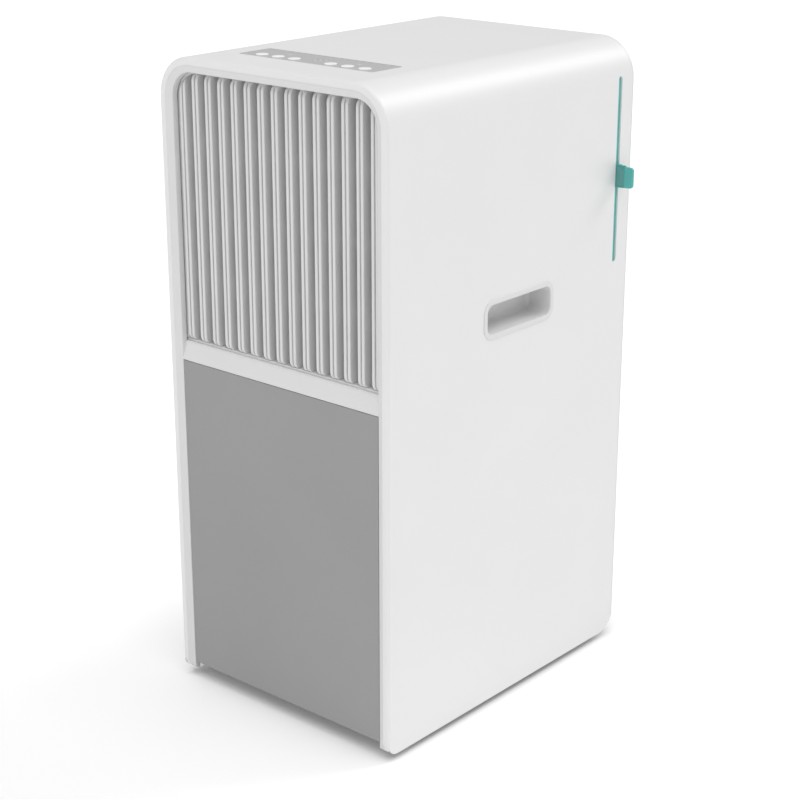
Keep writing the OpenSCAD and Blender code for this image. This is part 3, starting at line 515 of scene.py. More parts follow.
FINISHES = {
    "shell_white": white_abs, "bezel_white": bezel_abs, "panel_grey": textured_abs,
    "louvre_grey": louvre_abs, "tray_grey": tray_pp, "strip_grey": strip_abs,
    "lens_clear": window_acrylic, "board_green": board_laminate, "switch_black": switch_black,
    "button_white": cap_abs, "filter_teal": teal_abs, "filter_net": filter_nylon,
    "duct_plastic": duct_pp, "coil_aluminium": coil_aluminium, "pipe_copper": pipe_copper,
    "bracket_steel": bracket_steel, "shaft_steel": shaft_steel, "fan_plastic": fan_pp,
    "nut_brass": nut_brass, "compressor_black": compressor_enamel, "rubber_black": rubber,
    "tank_plastic": tank_san, "lid_grey": lid_pp, "handle_grey": handle_abs,
    "float_foam": float_foam, "capacitor_can": capacitor_can, "caster_steel": bracket_steel,
    "caster_tyre": tyre,
}
MADE = {}


def finish_of(slot):
    """The one material of a slot, made when it is first asked for."""
    if slot not in MADE:
        MADE[slot] = FINISHES[slot]()
    return MADE[slot]


# ---------------------------------------------------------------- shapes, in millimetres


def arc(cx, cy, r, start, end, steps=6):
    """Points on an arc, from start to end degrees."""
    angles = [math.radians(start + (end - start) * i / steps) for i in range(steps + 1)]
    return [(cx + r * math.cos(a), cy + r * math.sin(a)) for a in angles]


def rounded(w, h, r, cx=0.0, cy=0.0, steps=6):
    """The outline of a rectangle with round corners."""
    points = []
    for sx, sy, start in ((1, 1, 0), (-1, 1, 90), (-1, -1, 180), (1, -1, 270)):
        points += arc(cx + sx * (w / 2 - r), cy + sy * (h / 2 - r), r, start, start + 90, steps)
    return points


def at(axis, outline, h):
    """Sets a flat outline across an axis at height h: X takes (y, z), Y takes (x, z), Z takes (x, y)."""
    if axis == "X":
        return [(h, a, b) for a, b in outline]
    if axis == "Y":
        return [(a, h, b) for a, b in outline]
    return [(a, b, h) for a, b in outline]


def skin(bm, rings, loop=True, ends=True):
    """Joins rings of points with faces, and closes the first and last ring."""
    rows = [[bm.verts.new(p) for p in ring] for ring in rings]
    count = len(rows[0])
    for a, b in zip(rows, rows[1:]):
        for i in range(count if loop else count - 1):
            j = (i + 1) % count
            bm.faces.new((a[i], a[j], b[j], b[i]))
    if ends:
        bm.faces.new(rows[0][::-1])
        bm.faces.new(rows[-1])
    return rows


def block(bm, axis, outline, a, b):
    """A straight block between heights a and b."""
    skin(bm, [at(axis, outline, a), at(axis, outline, b)])


def lathe(bm, axis, centre, profile, steps=32, hollow=False):
    """Turns (radius, height) points about an axis. A hollow profile closes on itself."""
    rings = [at(axis, arc(*centre, max(r, 0.001), 0, 360, steps)[:-1], h)
             for r, h in profile + (profile[:1] if hollow else [])]
    skin(bm, rings, ends=not hollow)


def rod(bm, axis, centre, r, a, b, steps=24):
    lathe(bm, axis, centre, [(r, a), (r, b)], steps)


def loft(bm, axis, levels):
    """Joins round-cornered rectangles across an axis. A level is (height, width, depth, radius, ...)."""
    skin(bm, [at(axis, rounded(*shape), h) for h, *shape in levels])


def raw(bm, name="part"):
    """A cleaned object in metres from a bmesh in millimetres."""
    bmesh.ops.remove_doubles(bm, verts=bm.verts, dist=MERGED)
    bmesh.ops.dissolve_degenerate(bm, edges=bm.edges, dist=MERGED)
    bmesh.ops.recalc_face_normals(bm, faces=bm.faces)
    bmesh.ops.scale(bm, vec=(MM,) * 3, verts=bm.verts)
    mesh = bpy.data.meshes.new(name)
    bm.to_mesh(mesh)
    bm.free()
    ob = bpy.data.objects.new(name, mesh)
    bpy.context.scene.collection.objects.link(ob)
    return ob


def solid(shape, *values, **more):
    """One shape as an object of its own, to cut with, to copy or to finish."""
    bm = bmesh.new()
    shape(bm, *values, **more)
    return raw(bm)


def to_mm(bm):
    bmesh.ops.scale(bm, vec=(1 / MM,) * 3, verts=bm.verts)


def reopened(ob, bm=None):
    """Takes an object into a bmesh in millimetres, beside what that holds, and removes the object."""
    bm = bmesh.new() if bm is None else bm
    bmesh.ops.scale(bm, vec=(MM,) * 3, verts=bm.verts)
    bm.from_mesh(ob.data)
    to_mm(bm)
    bpy.data.objects.remove(ob)
    return bm


def apply(ob, *used):
    """Makes the object's modifiers part of its mesh, and removes the objects that they used."""
    bpy.context.view_layer.update()
    seen = bpy.context.evaluated_depsgraph_get()
    mesh = bpy.data.meshes.new_from_object(
        ob.evaluated_get(seen), preserve_all_data_layers=True, depsgraph=seen)
    ob.modifiers.clear()
    ob.data = mesh
    for item in used:
        bpy.data.objects.remove(item)
    return ob


def carve(ob, *tools):
    """Cuts tools out of an object and removes them."""
    for tool in tools:
        cut = ob.modifiers.new("Cut", "BOOLEAN")
        cut.operation, cut.solver, cut.object = "DIFFERENCE", "EXACT", tool
    return apply(ob, *tools)


def smooth(mesh):
    mesh.polygons.foreach_set("use_smooth", [True] * len(mesh.polygons))


def settle(ob, name, soft=0.0, part=None, finish=None):
    """Softens edges by soft mm, shades, colours and names a piece, and ties it to its CAD part."""
    part = part or name
    if soft:
        edges = ob.modifiers.new("Soft Edges", "BEVEL")
        edges.width, edges.segments = soft * MM, 2
        edges.limit_method, edges.angle_limit = "ANGLE", SOFT_ANGLE
        edges.use_clamp_overlap = True
        apply(ob)
    smooth(ob.data)
    ob.data.set_sharp_from_angle(angle=SHARP_ANGLE if soft else SOFT_ANGLE)
    weigh = ob.modifiers.new("Flat Faces", "WEIGHTED_NORMAL")
    weigh.keep_sharp = True
    apply(ob)
    ob.name = ob.data.name = name + "_piece"
    if not len(ob.data.materials):
        ob.data.materials.append(None)
    for i in range(len(ob.data.materials)):
        ob.data.materials[i] = finish or finish_of(SLOTS[part])
    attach(ob, body_of(frame["nodes"][part])[0])
    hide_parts(part)


def foot_z(y):
    """Height of the cabinet's lower edge at y, with its round corners."""
    for r, depth in ((FOOT_FRONT_R, y - FRONT), (FOOT_REAR_R, BACK - y)):
        if depth < r:
            return LOW + r - math.sqrt(max(r * r - (r - depth) ** 2, 0))
    return LOW


def foot_steps():
    """Places along Y that draw the round feet well, from the seam forward."""
    rear = [BACK - FOOT_REAR_R * (1 - math.cos(math.radians(a))) for a in (30, 42, 54, 66, 78, 90)]
    front = [FRONT + FOOT_FRONT_R * (1 - math.cos(math.radians(a))) for a in (90, 75, 60, 52)]
    return [SEAM, *rear, *front]


def arch_points(u, foot, steps=20):
    """The cabinet's outline from the front, moved in by u: up the left leg, over and down the right."""
    big = look().cabinet.top_radius / MM
    r, cx, cz = big - u, HALF - big, TOP - big
    return [(-(HALF - u), foot), *arc(-cx, cz, r, 180, 90, steps), *arc(cx, cz, r, 90, 0, steps),
            (HALF - u, foot)]


def screw_places():
    """Where the rear cover's screws stand: (x, z), with the heights from the CAD screws' middles."""
    levels = sorted(v.co.z / MM for v in frame["nodes"]["cover_screws"].data.vertices)
    groups, head = [[levels[0]]], 5
    for z in levels[1:]:
        if z - groups[-1][-1] > head:
            groups.append([])
        groups[-1].append(z)
    return [(s * SCREW_X, (g[0] + g[-1]) / 2) for s in (-1, 1) for g in groups]


def sweep_arch(bm, section):
    """Carries a closed section of (u, y) points round the cabinet's outline, down to its feet."""
    lines = [[(x, y, z) for x, z in arch_points(u, foot_z(y))] for u, y in section]
    skin(bm, [list(ring) for ring in zip(*lines)])


# ---------------------------------------------------------------- pieces


class PieceOperator:
    """What each operator here shares: it builds one group of pieces."""

    bl_options = {"REGISTER"}

    def execute(self, context):
        self.build(context.scene.dehumidifier)
        return {"FINISHED"}


class DEHUM_OT_cabinet(PieceOperator, bpy.types.Operator):
    """Builds the white cabinet with its round feet, grip holes, filter slot and strip opening"""

    bl_idname = "dehum.cabinet"
    bl_label = "Cabinet"

    def build(self, settings):
        c = settings.cabinet
        r, lip, wall = c.edge_round / MM, c.lip / MM, c.wall / MM
        ys = foot_steps()
        lip_back, soft = FRONT + 4, 0.3
        section = [(0, y) for y in ys] + arc(r, FRONT + r, r, 180, 270, 8)
        section += arc(lip - soft, FRONT + soft, soft, 270, 360, 3)
        section += [(lip, lip_back), (wall, lip_back)] + [(wall, y) for y in ys[::-1]]
        x0, x1 = HALF - 2 * OVER, HALF + 2 * OVER
        rim, hole_r = 6.2, 11.5
        tools = []
        for side, name in GRIPS:
            lo, hi, (_, cy, cz) = box(name)
            hole = rounded(hi.y - lo.y - rim, hi.z - lo.z - rim, hole_r, cy, cz, 8)
            tools.append(solid(block, "X", hole, side * x0, side * x1))
        lo, hi, (_, cy, cz) = box("filter_frame")
        slot_w, slot_h = hi.y - lo.y + 0.4, hi.z - lo.z + 0.6
        slot = rounded(slot_w, slot_h, slot_w / 2 - 0.01, cy, cz, 8)
        tools.append(solid(block, "X", slot, x0, x1))
        opening = rounded(178, 45, 4, 0, box("control_panel")[2][1])
        tools.append(solid(block, "Z", opening, TOP - 2 * OVER, TOP + 2 * OVER))
        bm = reopened(carve(solid(sweep_arch, section), *tools))
        bore, boss_r, start = 1.6, 5, SEAM - 16.7
        boss = [(boss_r, start), (boss_r, SEAM), (bore, SEAM), (bore, start)]
        for place in screw_places():
            lathe(bm, "Y", place, boss, 20, hollow=True)
        settle(raw(bm), "cabinet_wrap", soft=0.5)


class DEHUM_OT_front_frame(PieceOperator, bpy.types.Operator):
    """Builds the bevelled ring inside the bezel and the divider bar"""

    bl_idname = "dehum.front_frame"
    bl_label = "Front Frame"

    def build(self, settings):
        lip = settings.cabinet.lip / MM
        u0, u1 = lip + 0.05, lip + BEVEL
        tongue = 3.3  # how near the wall the frame's hidden tongue comes
        bm = bmesh.new()
        sweep_arch(bm, [
            (u0, FRONT + 0.12), (u0 + 0.3, FRONT + 0.2), (u1 - 1.2, FRONT + 3.0), (u1 - 0.3, FRONT + 3.6),
            (u1, FRONT + 4.4), (u1, FRONT + 10), (u1 - 2.5, FRONT + 10), (u1 - 2.5, FRONT + 6.8),
            (tongue, FRONT + 6.8), (tongue, FRONT + 4.3), (u0, FRONT + 4.3)])
        z0, open_x = PANEL_TOP + 0.3, HALF - u1
        z1 = z0 + 20
        bar = [(FRONT + 4.1, z0), (FRONT + 3.5, z0 + 0.5), (FRONT + 3.5, z0 + 1.5),
               (FRONT + 7.6, z1 - 2.4), *arc(FRONT + 10.4, z1 - 2.6, 2.6, 170, 95, 5),
               (FRONT + 11, z1), (FRONT + 11, z0)]
        block(bm, "X", bar, -open_x - 1, open_x + 1)
        settle(raw(bm), "front_frame", soft=0.25)


class DEHUM_OT_lower_panel(PieceOperator, bpy.types.Operator):
    """Builds the grey lower panel with its soft edges and the ribs behind it"""

    bl_idname = "dehum.lower_panel"
    bl_label = "Lower Panel"

    def build(self, settings):
        lo, hi, (_, _, cz) = box("lower_front_panel")
        w, h = hi.x - lo.x, hi.z - lo.z
        bm = bmesh.new()
        loft(bm, "Y", [(lo.y + y, w - 2 * inset, h - 2 * inset, 1.6, 0, cz, 4)
                       for inset, y in ((0, 3), (0, 0.8), (0.25, 0.25), (0.8, 0))])
        for x in (-90, 0, 90):
            block(bm, "Y", rounded(4, h - 60, 1, x, cz), lo.y + 2.9, hi.y)
        settle(raw(bm), "lower_front_panel", soft=0.2)


class DEHUM_OT_louvre(PieceOperator, bpy.types.Operator):
    """Builds the louvre: twin-rib bars on their ring and tie bars"""

    bl_idname = "dehum.louvre"
    bl_label = "Louvre"

    def bar(self, y0, y1, z0, z1, rib, groove, depth, r):
        """One bar of two crowned ribs, whose front rounds back by r at both ends."""
        half, g, crown = rib + groove / 2, groove / 2, min(0.9, rib / 2.2)
        middle, stay = (z0 + z1) / 2, 20  # the two middle rings stand clear of the lowered tops
        levels = [r * (1 - math.cos(math.radians(a))) for a in range(0, 91, 10)]
        heights = [z0 + d for d in levels] + [middle - stay, middle + stay]
        heights += [z1 - d for d in levels[::-1]]
        rows = []
        for z in heights:
            d = min(z - z0, z1 - z)
            front = y0 + (r - math.sqrt(max(r * r - (r - min(d, r)) ** 2, 0)))
            floor = max(y0 + depth, front + 0.4)
            left = [(-half, front + crown * 1.3),
                    *arc(-half + crown, front + crown, crown, 180, 270, 4)[1:],
                    *arc(-g - crown, front + crown, crown, 270, 360, 4)[:-1],
                    (-g, front + crown), (-g, floor)]
            row = [(-half, y1), *left, *[(-x, y) for x, y in left[::-1]], (half, y1)]
            rows.append([(x, min(y, y1), z) for x, y in row])
        ob = solid(skin, rows)
        smooth(ob.data)
        return ob

    def build(self, settings):
        f, c = settings.front, settings.cabinet
        rib, groove = f.rib / MM, f.groove / MM
        edge = c.lip / MM + BEVEL
        open_x = HALF - edge
        y0 = box("louvre_grille")[0].y
        y1 = y0 + 14
        z0, z1 = PANEL_TOP + 20.9, TOP - edge - 0.6
        bar = self.bar(y0, y1, z0, z1, rib, groove, f.groove_depth / MM, f.end_round / MM)
        bm = bmesh.new()
        depth, outer = 11.2, 8.5
        ring = [(outer, y1 - depth), (edge + 2.1, y1 - depth), (edge + 2.1, y1), (outer, y1)]
        lines = [[(x, y, z) for x, z in arch_points(u, z0 + 1.4)] for u, y in ring]
        skin(bm, [list(a) for a in zip(*lines)])
        block(bm, "X", rounded(depth, 8, 0.8, y1 - depth / 2, z0 - 2.6, 3), -open_x - 6.9, open_x + 6.9)
        for k in (1, 2, 3):
            z = z0 - 0.6 + k * (z1 - z0 + 1.2) / 4
            block(bm, "X", rounded(3, 4, 0.8, y1 + 1, z, 3), -open_x - 1, open_x + 1)
        ob = raw(bm)
        x0 = -open_x + 3.8 + rib + groove / 2
        repeat(ob, louvre_tree, item=bar, count=f.bars, start=(x0 * MM, 0, 0),
               step=(-2 * x0 * MM / (f.bars - 1), 0, 0), corner_x=HALF * MM - c.top_radius,
               corner_radius=c.top_radius - (edge + 0.8) * MM, half_height=(z0 + z1) / 2 * MM,
               finish=finish_of(SLOTS["louvre_grille"]))
        settle(apply(ob, bar), "louvre_grille")


class DEHUM_OT_rear_cover(PieceOperator, bpy.types.Operator):
    """Builds the rear cover with its intake slots, tank opening, drain pocket and inlet hole"""

    bl_idname = "dehum.rear_cover"
    bl_label = "Rear Cover"

    def build(self, settings):
        y0, edge, pitch = SEAM + 0.3, 1.5, 11.5
        through = (y0 - OVER, BACK + OVER)
        rings = []
        for y in (y0, y0 + 0.5, BACK - edge, BACK - 1.0, BACK - 0.5, BACK - 0.2, BACK):
            rise = max(y - (BACK - edge), 0)
            u = edge - math.sqrt(max(edge * edge - rise * rise, 0))
            rings.append(at("Y", arch_points(u, foot_z(min(y, BACK - 0.25))), y))
        ob = solid(skin, rings)
        lo, hi, _ = box("filter_frame")
        z0, z1 = lo.z - 0.3, hi.z + 0.3
        rows = int((z1 - z0) // pitch)
        first = z0 + (z1 - z0 - (rows - 1) * pitch) / 2
        slot = solid(block, "Y", rounded(236, 6, 2.9, steps=5), *through)
        repeat(ob, slots_tree, item=slot, count=rows, start=(0, 0, first * MM),
               step=(0, 0, pitch * MM), finish=finish_of("shell_white"))
        apply(ob, slot)
        lo, hi, (_, _, cz) = box("tank")
        hole = rounded(hi.x - lo.x + 1.2, hi.z - lo.z + 1.2, 2.5, 0, cz)
        tools = [solid(block, "Y", hole, *through)]
        _, _, (dx, _, dz) = box("drain_plug")
        tools.append(solid(rod, "Y", (dx, dz), 22.6, *through, 48))
        lo, hi, (ix, _, iz) = box("power_inlet")
        hole = rounded(hi.x - lo.x + 0.6, hi.z - lo.z + 0.6, 2.2, ix, iz)
        tools.append(solid(block, "Y", hole, *through))
        bore, head_r, sunk = 1.8, 4.3, BACK - 1.9
        hole = [(bore, through[0]), (bore, sunk), (head_r, sunk), (head_r, through[1])]
        tools += [solid(lathe, "Y", place, hole) for place in screw_places()]
        bm = reopened(carve(ob, *tools))
        floor = BACK - POCKET
        lathe(bm, "Y", (dx, dz), [
            (8.9, floor - 2), (24, floor - 2), (24, BACK - 0.9), (23.5, BACK - 0.3), (22.8, BACK),
            (22.2, BACK - 0.3), (22, BACK - 0.9), (22, floor + 2), (21.4, floor + 0.6), (20, floor),
            (8.9, floor)], 48, hollow=True)
        settle(raw(bm), "rear_cover", soft=0.3)


class DEHUM_OT_grips(PieceOperator, bpy.types.Operator):
    """Builds the two hand grips: a soft rim on the wall and a scooped pocket behind it"""

    bl_idname = "dehum.grips"
    bl_label = "Hand Grips"

    def build(self, settings):
        proud = 0.9  # how far the rim's crest stands out of the wall
        for side, name in GRIPS:
            lo, hi, (_, cy, cz) = box(name)
            w, h, deep = hi.y - lo.y, hi.z - lo.z, hi.x - lo.x
            # (depth behind the rim's crest, inset from the rim's outside), from the pocket's back round
            path = [(deep, 12.5), (deep - 0.4, 9.8), (deep - 2, 7.4), (deep - 6, 5.6), (proud + 3, 3.8),
                    (proud - 0.05, 3.6), (proud - 0.05, 0), (proud - 0.35, 0.05), (0.25, 0.3),
                    (0.05, 0.8), (0, 1.4), (0, 4.6), (0.15, 5.1), (0.5, 5.45), (1.0, 5.6), (4, 5.8),
                    (deep - 8, 6.6), (deep - 4.5, 7.4), (deep - 2.9, 9), (deep - 2.2, 10.8),
                    (deep - 2, 12.8)]
            levels = []
            for depth, inset in path:
                r = min(max(14 - 0.95 * inset, 3.5), h / 2 - inset - 0.1)
                levels.append((side * (HALF + proud - depth), w - 2 * inset, h - 2 * inset, r, cy, cz, 10))
            settle(solid(loft, "X", levels), name)


class DEHUM_OT_controls(PieceOperator, bpy.types.Operator):
    """Builds the control strip, its window with the light dots, and the six buttons"""

    bl_idname = "dehum.controls"
    bl_label = "Controls"

    def build(self, settings):
        names = ["button_" + name for name in ("power", "mode", "speed", "timer", "down", "up")]
        lo, hi, (_, cy, _) = box("control_panel")
        face, r = hi.z, settings.controls.button / MM
        spots = [tuple(box(name)[2][:2]) for name in names]
        strip = solid(loft, "Z", [(z, w, d, soft, 0, cy) for w, d, soft, z in (
            (186, 53, 4, lo.z), (186, 53, 4, lo.z + 2.3), (177.4, 44.4, 3.7, lo.z + 2.3),
            (177.4, 44.4, 3.7, face - 0.5), (177.1, 44.1, 3.6, face - 0.15), (176.4, 43.4, 3.4, face))])
        through = (lo.z - 2, face + 2)
        tools = [solid(rod, "Z", spot, r + 0.25, *through, 40) for spot in spots]
        wlo, _, (wx, wy, _) = box("display_lens")
        tools.append(solid(block, "Z", rounded(12, 14, 1.2, wx, wy), *through))
        settle(carve(strip, *tools), "control_panel", soft=0.25)
        window = [(z, w, w + 2, 1.0, wx, wy) for w, z in (
            (11.8, wlo.z), (11.8, face - 0.3), (11.4, face - 0.08), (10.4, face))]
        settle(solid(loft, "Z", window), "display_lens")
        back, dot, small = spots[0][1] + 17, 2.8, 2.6
        marks = [(spots[1][0], back, dot), (spots[4][0], back, dot)]
        marks += [(wx + 3.6 * k, wy + 4 * k, small) for k in (-1, 0, 1)]
        bm = bmesh.new()
        for x, y, size in marks:
            loft(bm, "Z", [(face + rise, size * k, size * k, size * k * 0.49, x, y, 5)
                           for k, rise in ((1, -0.4), (1, 0.02), (0.8, 0.08))])
        settle(raw(bm), "indicator_marks", part="display_lens", finish=dot_white())
        for name, spot in zip(names, spots):
            z0, z1 = box(name)[0].z, box(name)[1].z
            cap = [(0, z0), (r + 1.4, z0), (r + 1.4, z0 + 2), (r, z0 + 2), (r, z1 - 0.9),
                   (r - 0.12, z1 - 0.6), (r - 0.5, z1 - 0.35), (r - 1.2, z1 - 0.2), (r - 3.2, z1 - 0.06),
                   (0, z1)]
            settle(solid(lathe, "Z", spot, cap, 40), name)


class DEHUM_OT_air_filter(PieceOperator, bpy.types.Operator):
    """Builds the pull-out filter: its frame with the finger tab, and the woven net"""

    bl_idname = "dehum.air_filter"
    bl_label = "Air Filter"

    def build(self, settings):
        b = settings.filter.border / MM
        lo, hi, (_, cy, cz) = box("filter_frame")
        x_in, t, h = HALF - 1.7, hi.y - lo.y, hi.z - lo.z
        mid, open_h = (lo.x + x_in) / 2, h - 2 * b
        bar = 2  # half the width of the upright bar in the middle
        tools = [solid(block, "Y", rounded(xb - xa, open_h, 3, (xa + xb) / 2, cz), lo.y - OVER, hi.y + OVER)
                 for xa, xb in ((lo.x + b, mid - bar), (mid + bar, x_in - b))]
        rebate = rounded(x_in - lo.x - 2 * b + 6, open_h + 6, 3, mid, cz)
        tools.append(solid(block, "Y", rebate, cy + 0.4, hi.y + OVER))
        edge = solid(block, "X", rounded(t, h, t / 2 - 0.05, cy, cz, 6), lo.x, x_in)
        bm = reopened(carve(edge, *tools))
        tz, ty, thick, tip, k = cz - 5, lo.y + 0.6, 3, hi.x, 12.5
        outline = [(x_in - 1.5, tz - k), (HALF + 2, tz - k), (tip - 3, tz - k + 1),
                   *arc(tip - 3, tz - k + 4, 3, -80, 0, 5), *arc(tip - 3, tz + k - 5, 3, 0, 88, 5),
                   (HALF + 8.5, tz + k - 1.8), (HALF + 6, tz + k - 0.2), (HALF + 4.5, tz + k),
                   (x_in - 1.5, tz + k)]
        block(bm, "Y", outline, ty, ty + thick)
        settle(raw(bm), "filter_frame", soft=0.35)
        pads, dots = bmesh.new(), bmesh.new()
        dot = [(0.6, 0.1), (0.55, -0.3), (0.35, -0.45), (0.001, -0.5)]
        for y, s in ((ty, 1), (ty + thick, -1)):
            loft(pads, "Y", [(y + s * rise, 10 - 2 * i, 23 - 2 * i, 1.2 - i, HALF + 5.6, tz)
                             for i, rise in ((0, 0.1), (0, -0.12), (0.15, -0.2))])
            for column in range(4):
                for row in range(8 - column % 2):
                    spot = (HALF + 2.3 + 2.2 * column, tz - 9.1 + 2.6 * row + 1.3 * (column % 2))
                    lathe(dots, "Y", spot, [(r, y + s * (rise - 0.1)) for r, rise in dot], 10)
        settle(raw(pads), "filter_tab_pads", part="filter_frame", finish=soft_teal())
        # the dots' lighter teal is a painted highlight, not a colour of their own
        settle(raw(dots), "filter_tab_dots", part="filter_frame", finish=teal_dot_painted_highlight())
        self.net(settings.filter.strand / MM)

    def net(self, gap):
        """Strands each way, crossing on one plane, with a hem round them."""
        lo, hi, (mx, y, mz) = box("filter_mesh")
        broad, thin, hem = 0.5, 0.36, 0.8
        upright = solid(block, "Z", rounded(broad, thin, 0.15, 0, y - 0.12, 1), lo.z, hi.z)
        level = solid(block, "X", rounded(thin, broad, 0.15, y + 0.12, 0, 1), lo.x, hi.x)
        bm = bmesh.new()
        for z in (lo.z + hem, hi.z - hem):
            block(bm, "X", rounded(0.7, 2 * hem, 0.2, y, z, 2), lo.x, hi.x)
        for x in (lo.x + hem, hi.x - hem):
            block(bm, "Z", rounded(2 * hem, 0.7, 0.2, x, y, 2), lo.z, hi.z)
        ob = raw(bm)
        paint = finish_of("filter_net")
        across, up = int((hi.x - lo.x) / gap), int((hi.z - lo.z) / gap)
        repeat(ob, row_tree, item=upright, count=across, finish=paint, step=(gap * MM, 0, 0),
               start=((mx - (across - 1) * gap / 2) * MM, 0, 0))
        repeat(ob, row_tree, item=level, count=up, finish=paint, step=(0, 0, gap * MM),
               start=(0, 0, (mz - (up - 1) * gap / 2) * MM))
        settle(apply(ob, upright, level), "filter_mesh")


class DEHUM_OT_fan(PieceOperator, bpy.types.Operator):
    """Builds the fan rotor: a hub with curved blades set round it"""

    bl_idname = "dehum.fan"
    bl_label = "Fan"

    hub = 34  # radius in millimetres
    stations = 10  # rings from a blade's root to its tip
    chord_points = 9  # points along one side of a ring

    def station(self, share, r, y0, y1):
        """One ring of the blade: a bowed section, set and swept by how far out it stands."""
        reach = self.hub - 1.5 + (r - self.hub + 1.4) * share
        pitch = math.radians(46 - 24 * share)
        chord = 34 + 26 * math.sin(math.pi * min(share * 0.8 + 0.1, 1))
        chord = min(chord, (y1 - y0 - 3) / math.sin(pitch))
        sweep = math.radians(-10 + 16 * share)
        ring = []
        for side in (1, -1):
            for j in range(self.chord_points):
                t = j / (self.chord_points - 1)
                t = t if side > 0 else 1 - t
                along, arched = (t - 0.5) * chord, math.sin(math.pi * t)
                # the two sides meet at the trailing edge
                thick = 0 if side < 0 and j == 0 else side * (0.35 + 0.95 * arched)
                bow = 3.2 * arched + thick
                angle = sweep + (along * math.cos(pitch) - bow * math.sin(pitch)) / reach
                y = (y0 + y1) / 2 - 1 + (along * math.sin(pitch) + bow * math.cos(pitch)) * 0.96
                y = min(max(y, y0 + 0.3), y1 - 0.3)
                ring.append((reach * math.cos(angle), y, reach * math.sin(angle)))
        return ring

    def build(self, settings):
        lo, hi, (cx, _, cz) = box("fan_rotor")
        y0, y1, r, hub = lo.y, hi.y, (hi.z - lo.z) / 2, self.hub
        last = self.stations - 1
        blade = solid(skin, [self.station(i / last, r, y0, y1) for i in range(last + 1)])
        smooth(blade.data)
        bore = 4.05
        ob = solid(lathe, "Y", (cx, cz), [
            (bore, y0 + 2), (9, y0 + 2), (10, y0 + 3), (10, y1 - 4), (hub - 3, y1 - 4), (hub - 3, y0),
            (hub, y0), (hub, y1 - 5), (hub - 1.2, y1 - 2), (hub - 4.5, y1), (bore, y1)], 56, hollow=True)
        repeat(ob, ring_tree, item=blade, count=7, start=(cx * MM, 0, cz * MM), axis=(0.0, 1.0, 0.0),
               finish=finish_of("fan_plastic"))
        settle(apply(ob, blade), "fan_rotor")


class DEHUM_OT_coils(PieceOperator, bpy.types.Operator):
    """Builds the fin packs of the evaporator and condenser as many thin plates on their tubes"""

    bl_idname = "dehum.coils"
    bl_label = "Coil Fins"

    def build(self, settings):
        spacing, passes = 2.4, 6  # millimetres between fins, and tubes in a coil
        fin, end = 0.1, 0.4  # half the thickness of a fin and of an end plate
        for coil in ("evaporator", "condenser"):
            lo, hi, (_, cy, cz) = box(coil + "_fins")
            tlo, thi, _ = box(coil + "_tubes")
            d, h, tube = hi.y - lo.y, hi.z - lo.z, (thi.y - tlo.y) / 2
            first, pitch = tlo.z + tube, (thi.z - tlo.z - 2 * tube) / (passes - 1)
            plate = carve(solid(block, "X", rounded(d, h, 1.5, cy, cz, 2), -fin, fin), *[
                solid(rod, "X", (cy, first + k * pitch), tube + 0.1, -2, 2, 12) for k in range(passes)])
            count = int((hi.x - lo.x) / spacing)
            gap = (hi.x - lo.x - 2 * end) / (count - 1)
            bm = bmesh.new()
            for x in (lo.x + end, hi.x - end):
                for side in (-1, 1):
                    flange = rounded(2, h, 0.4, cy + side * (d - 2) / 2, cz, 2)
                    block(bm, "X", flange, x - end, x + end)
            ob = raw(bm)
            repeat(ob, row_tree, item=plate, count=count, start=((lo.x + end) * MM, 0, 0),
                   step=(gap * MM, 0, 0), finish=finish_of("coil_aluminium"))
            settle(apply(ob, plate), coil + "_fins")


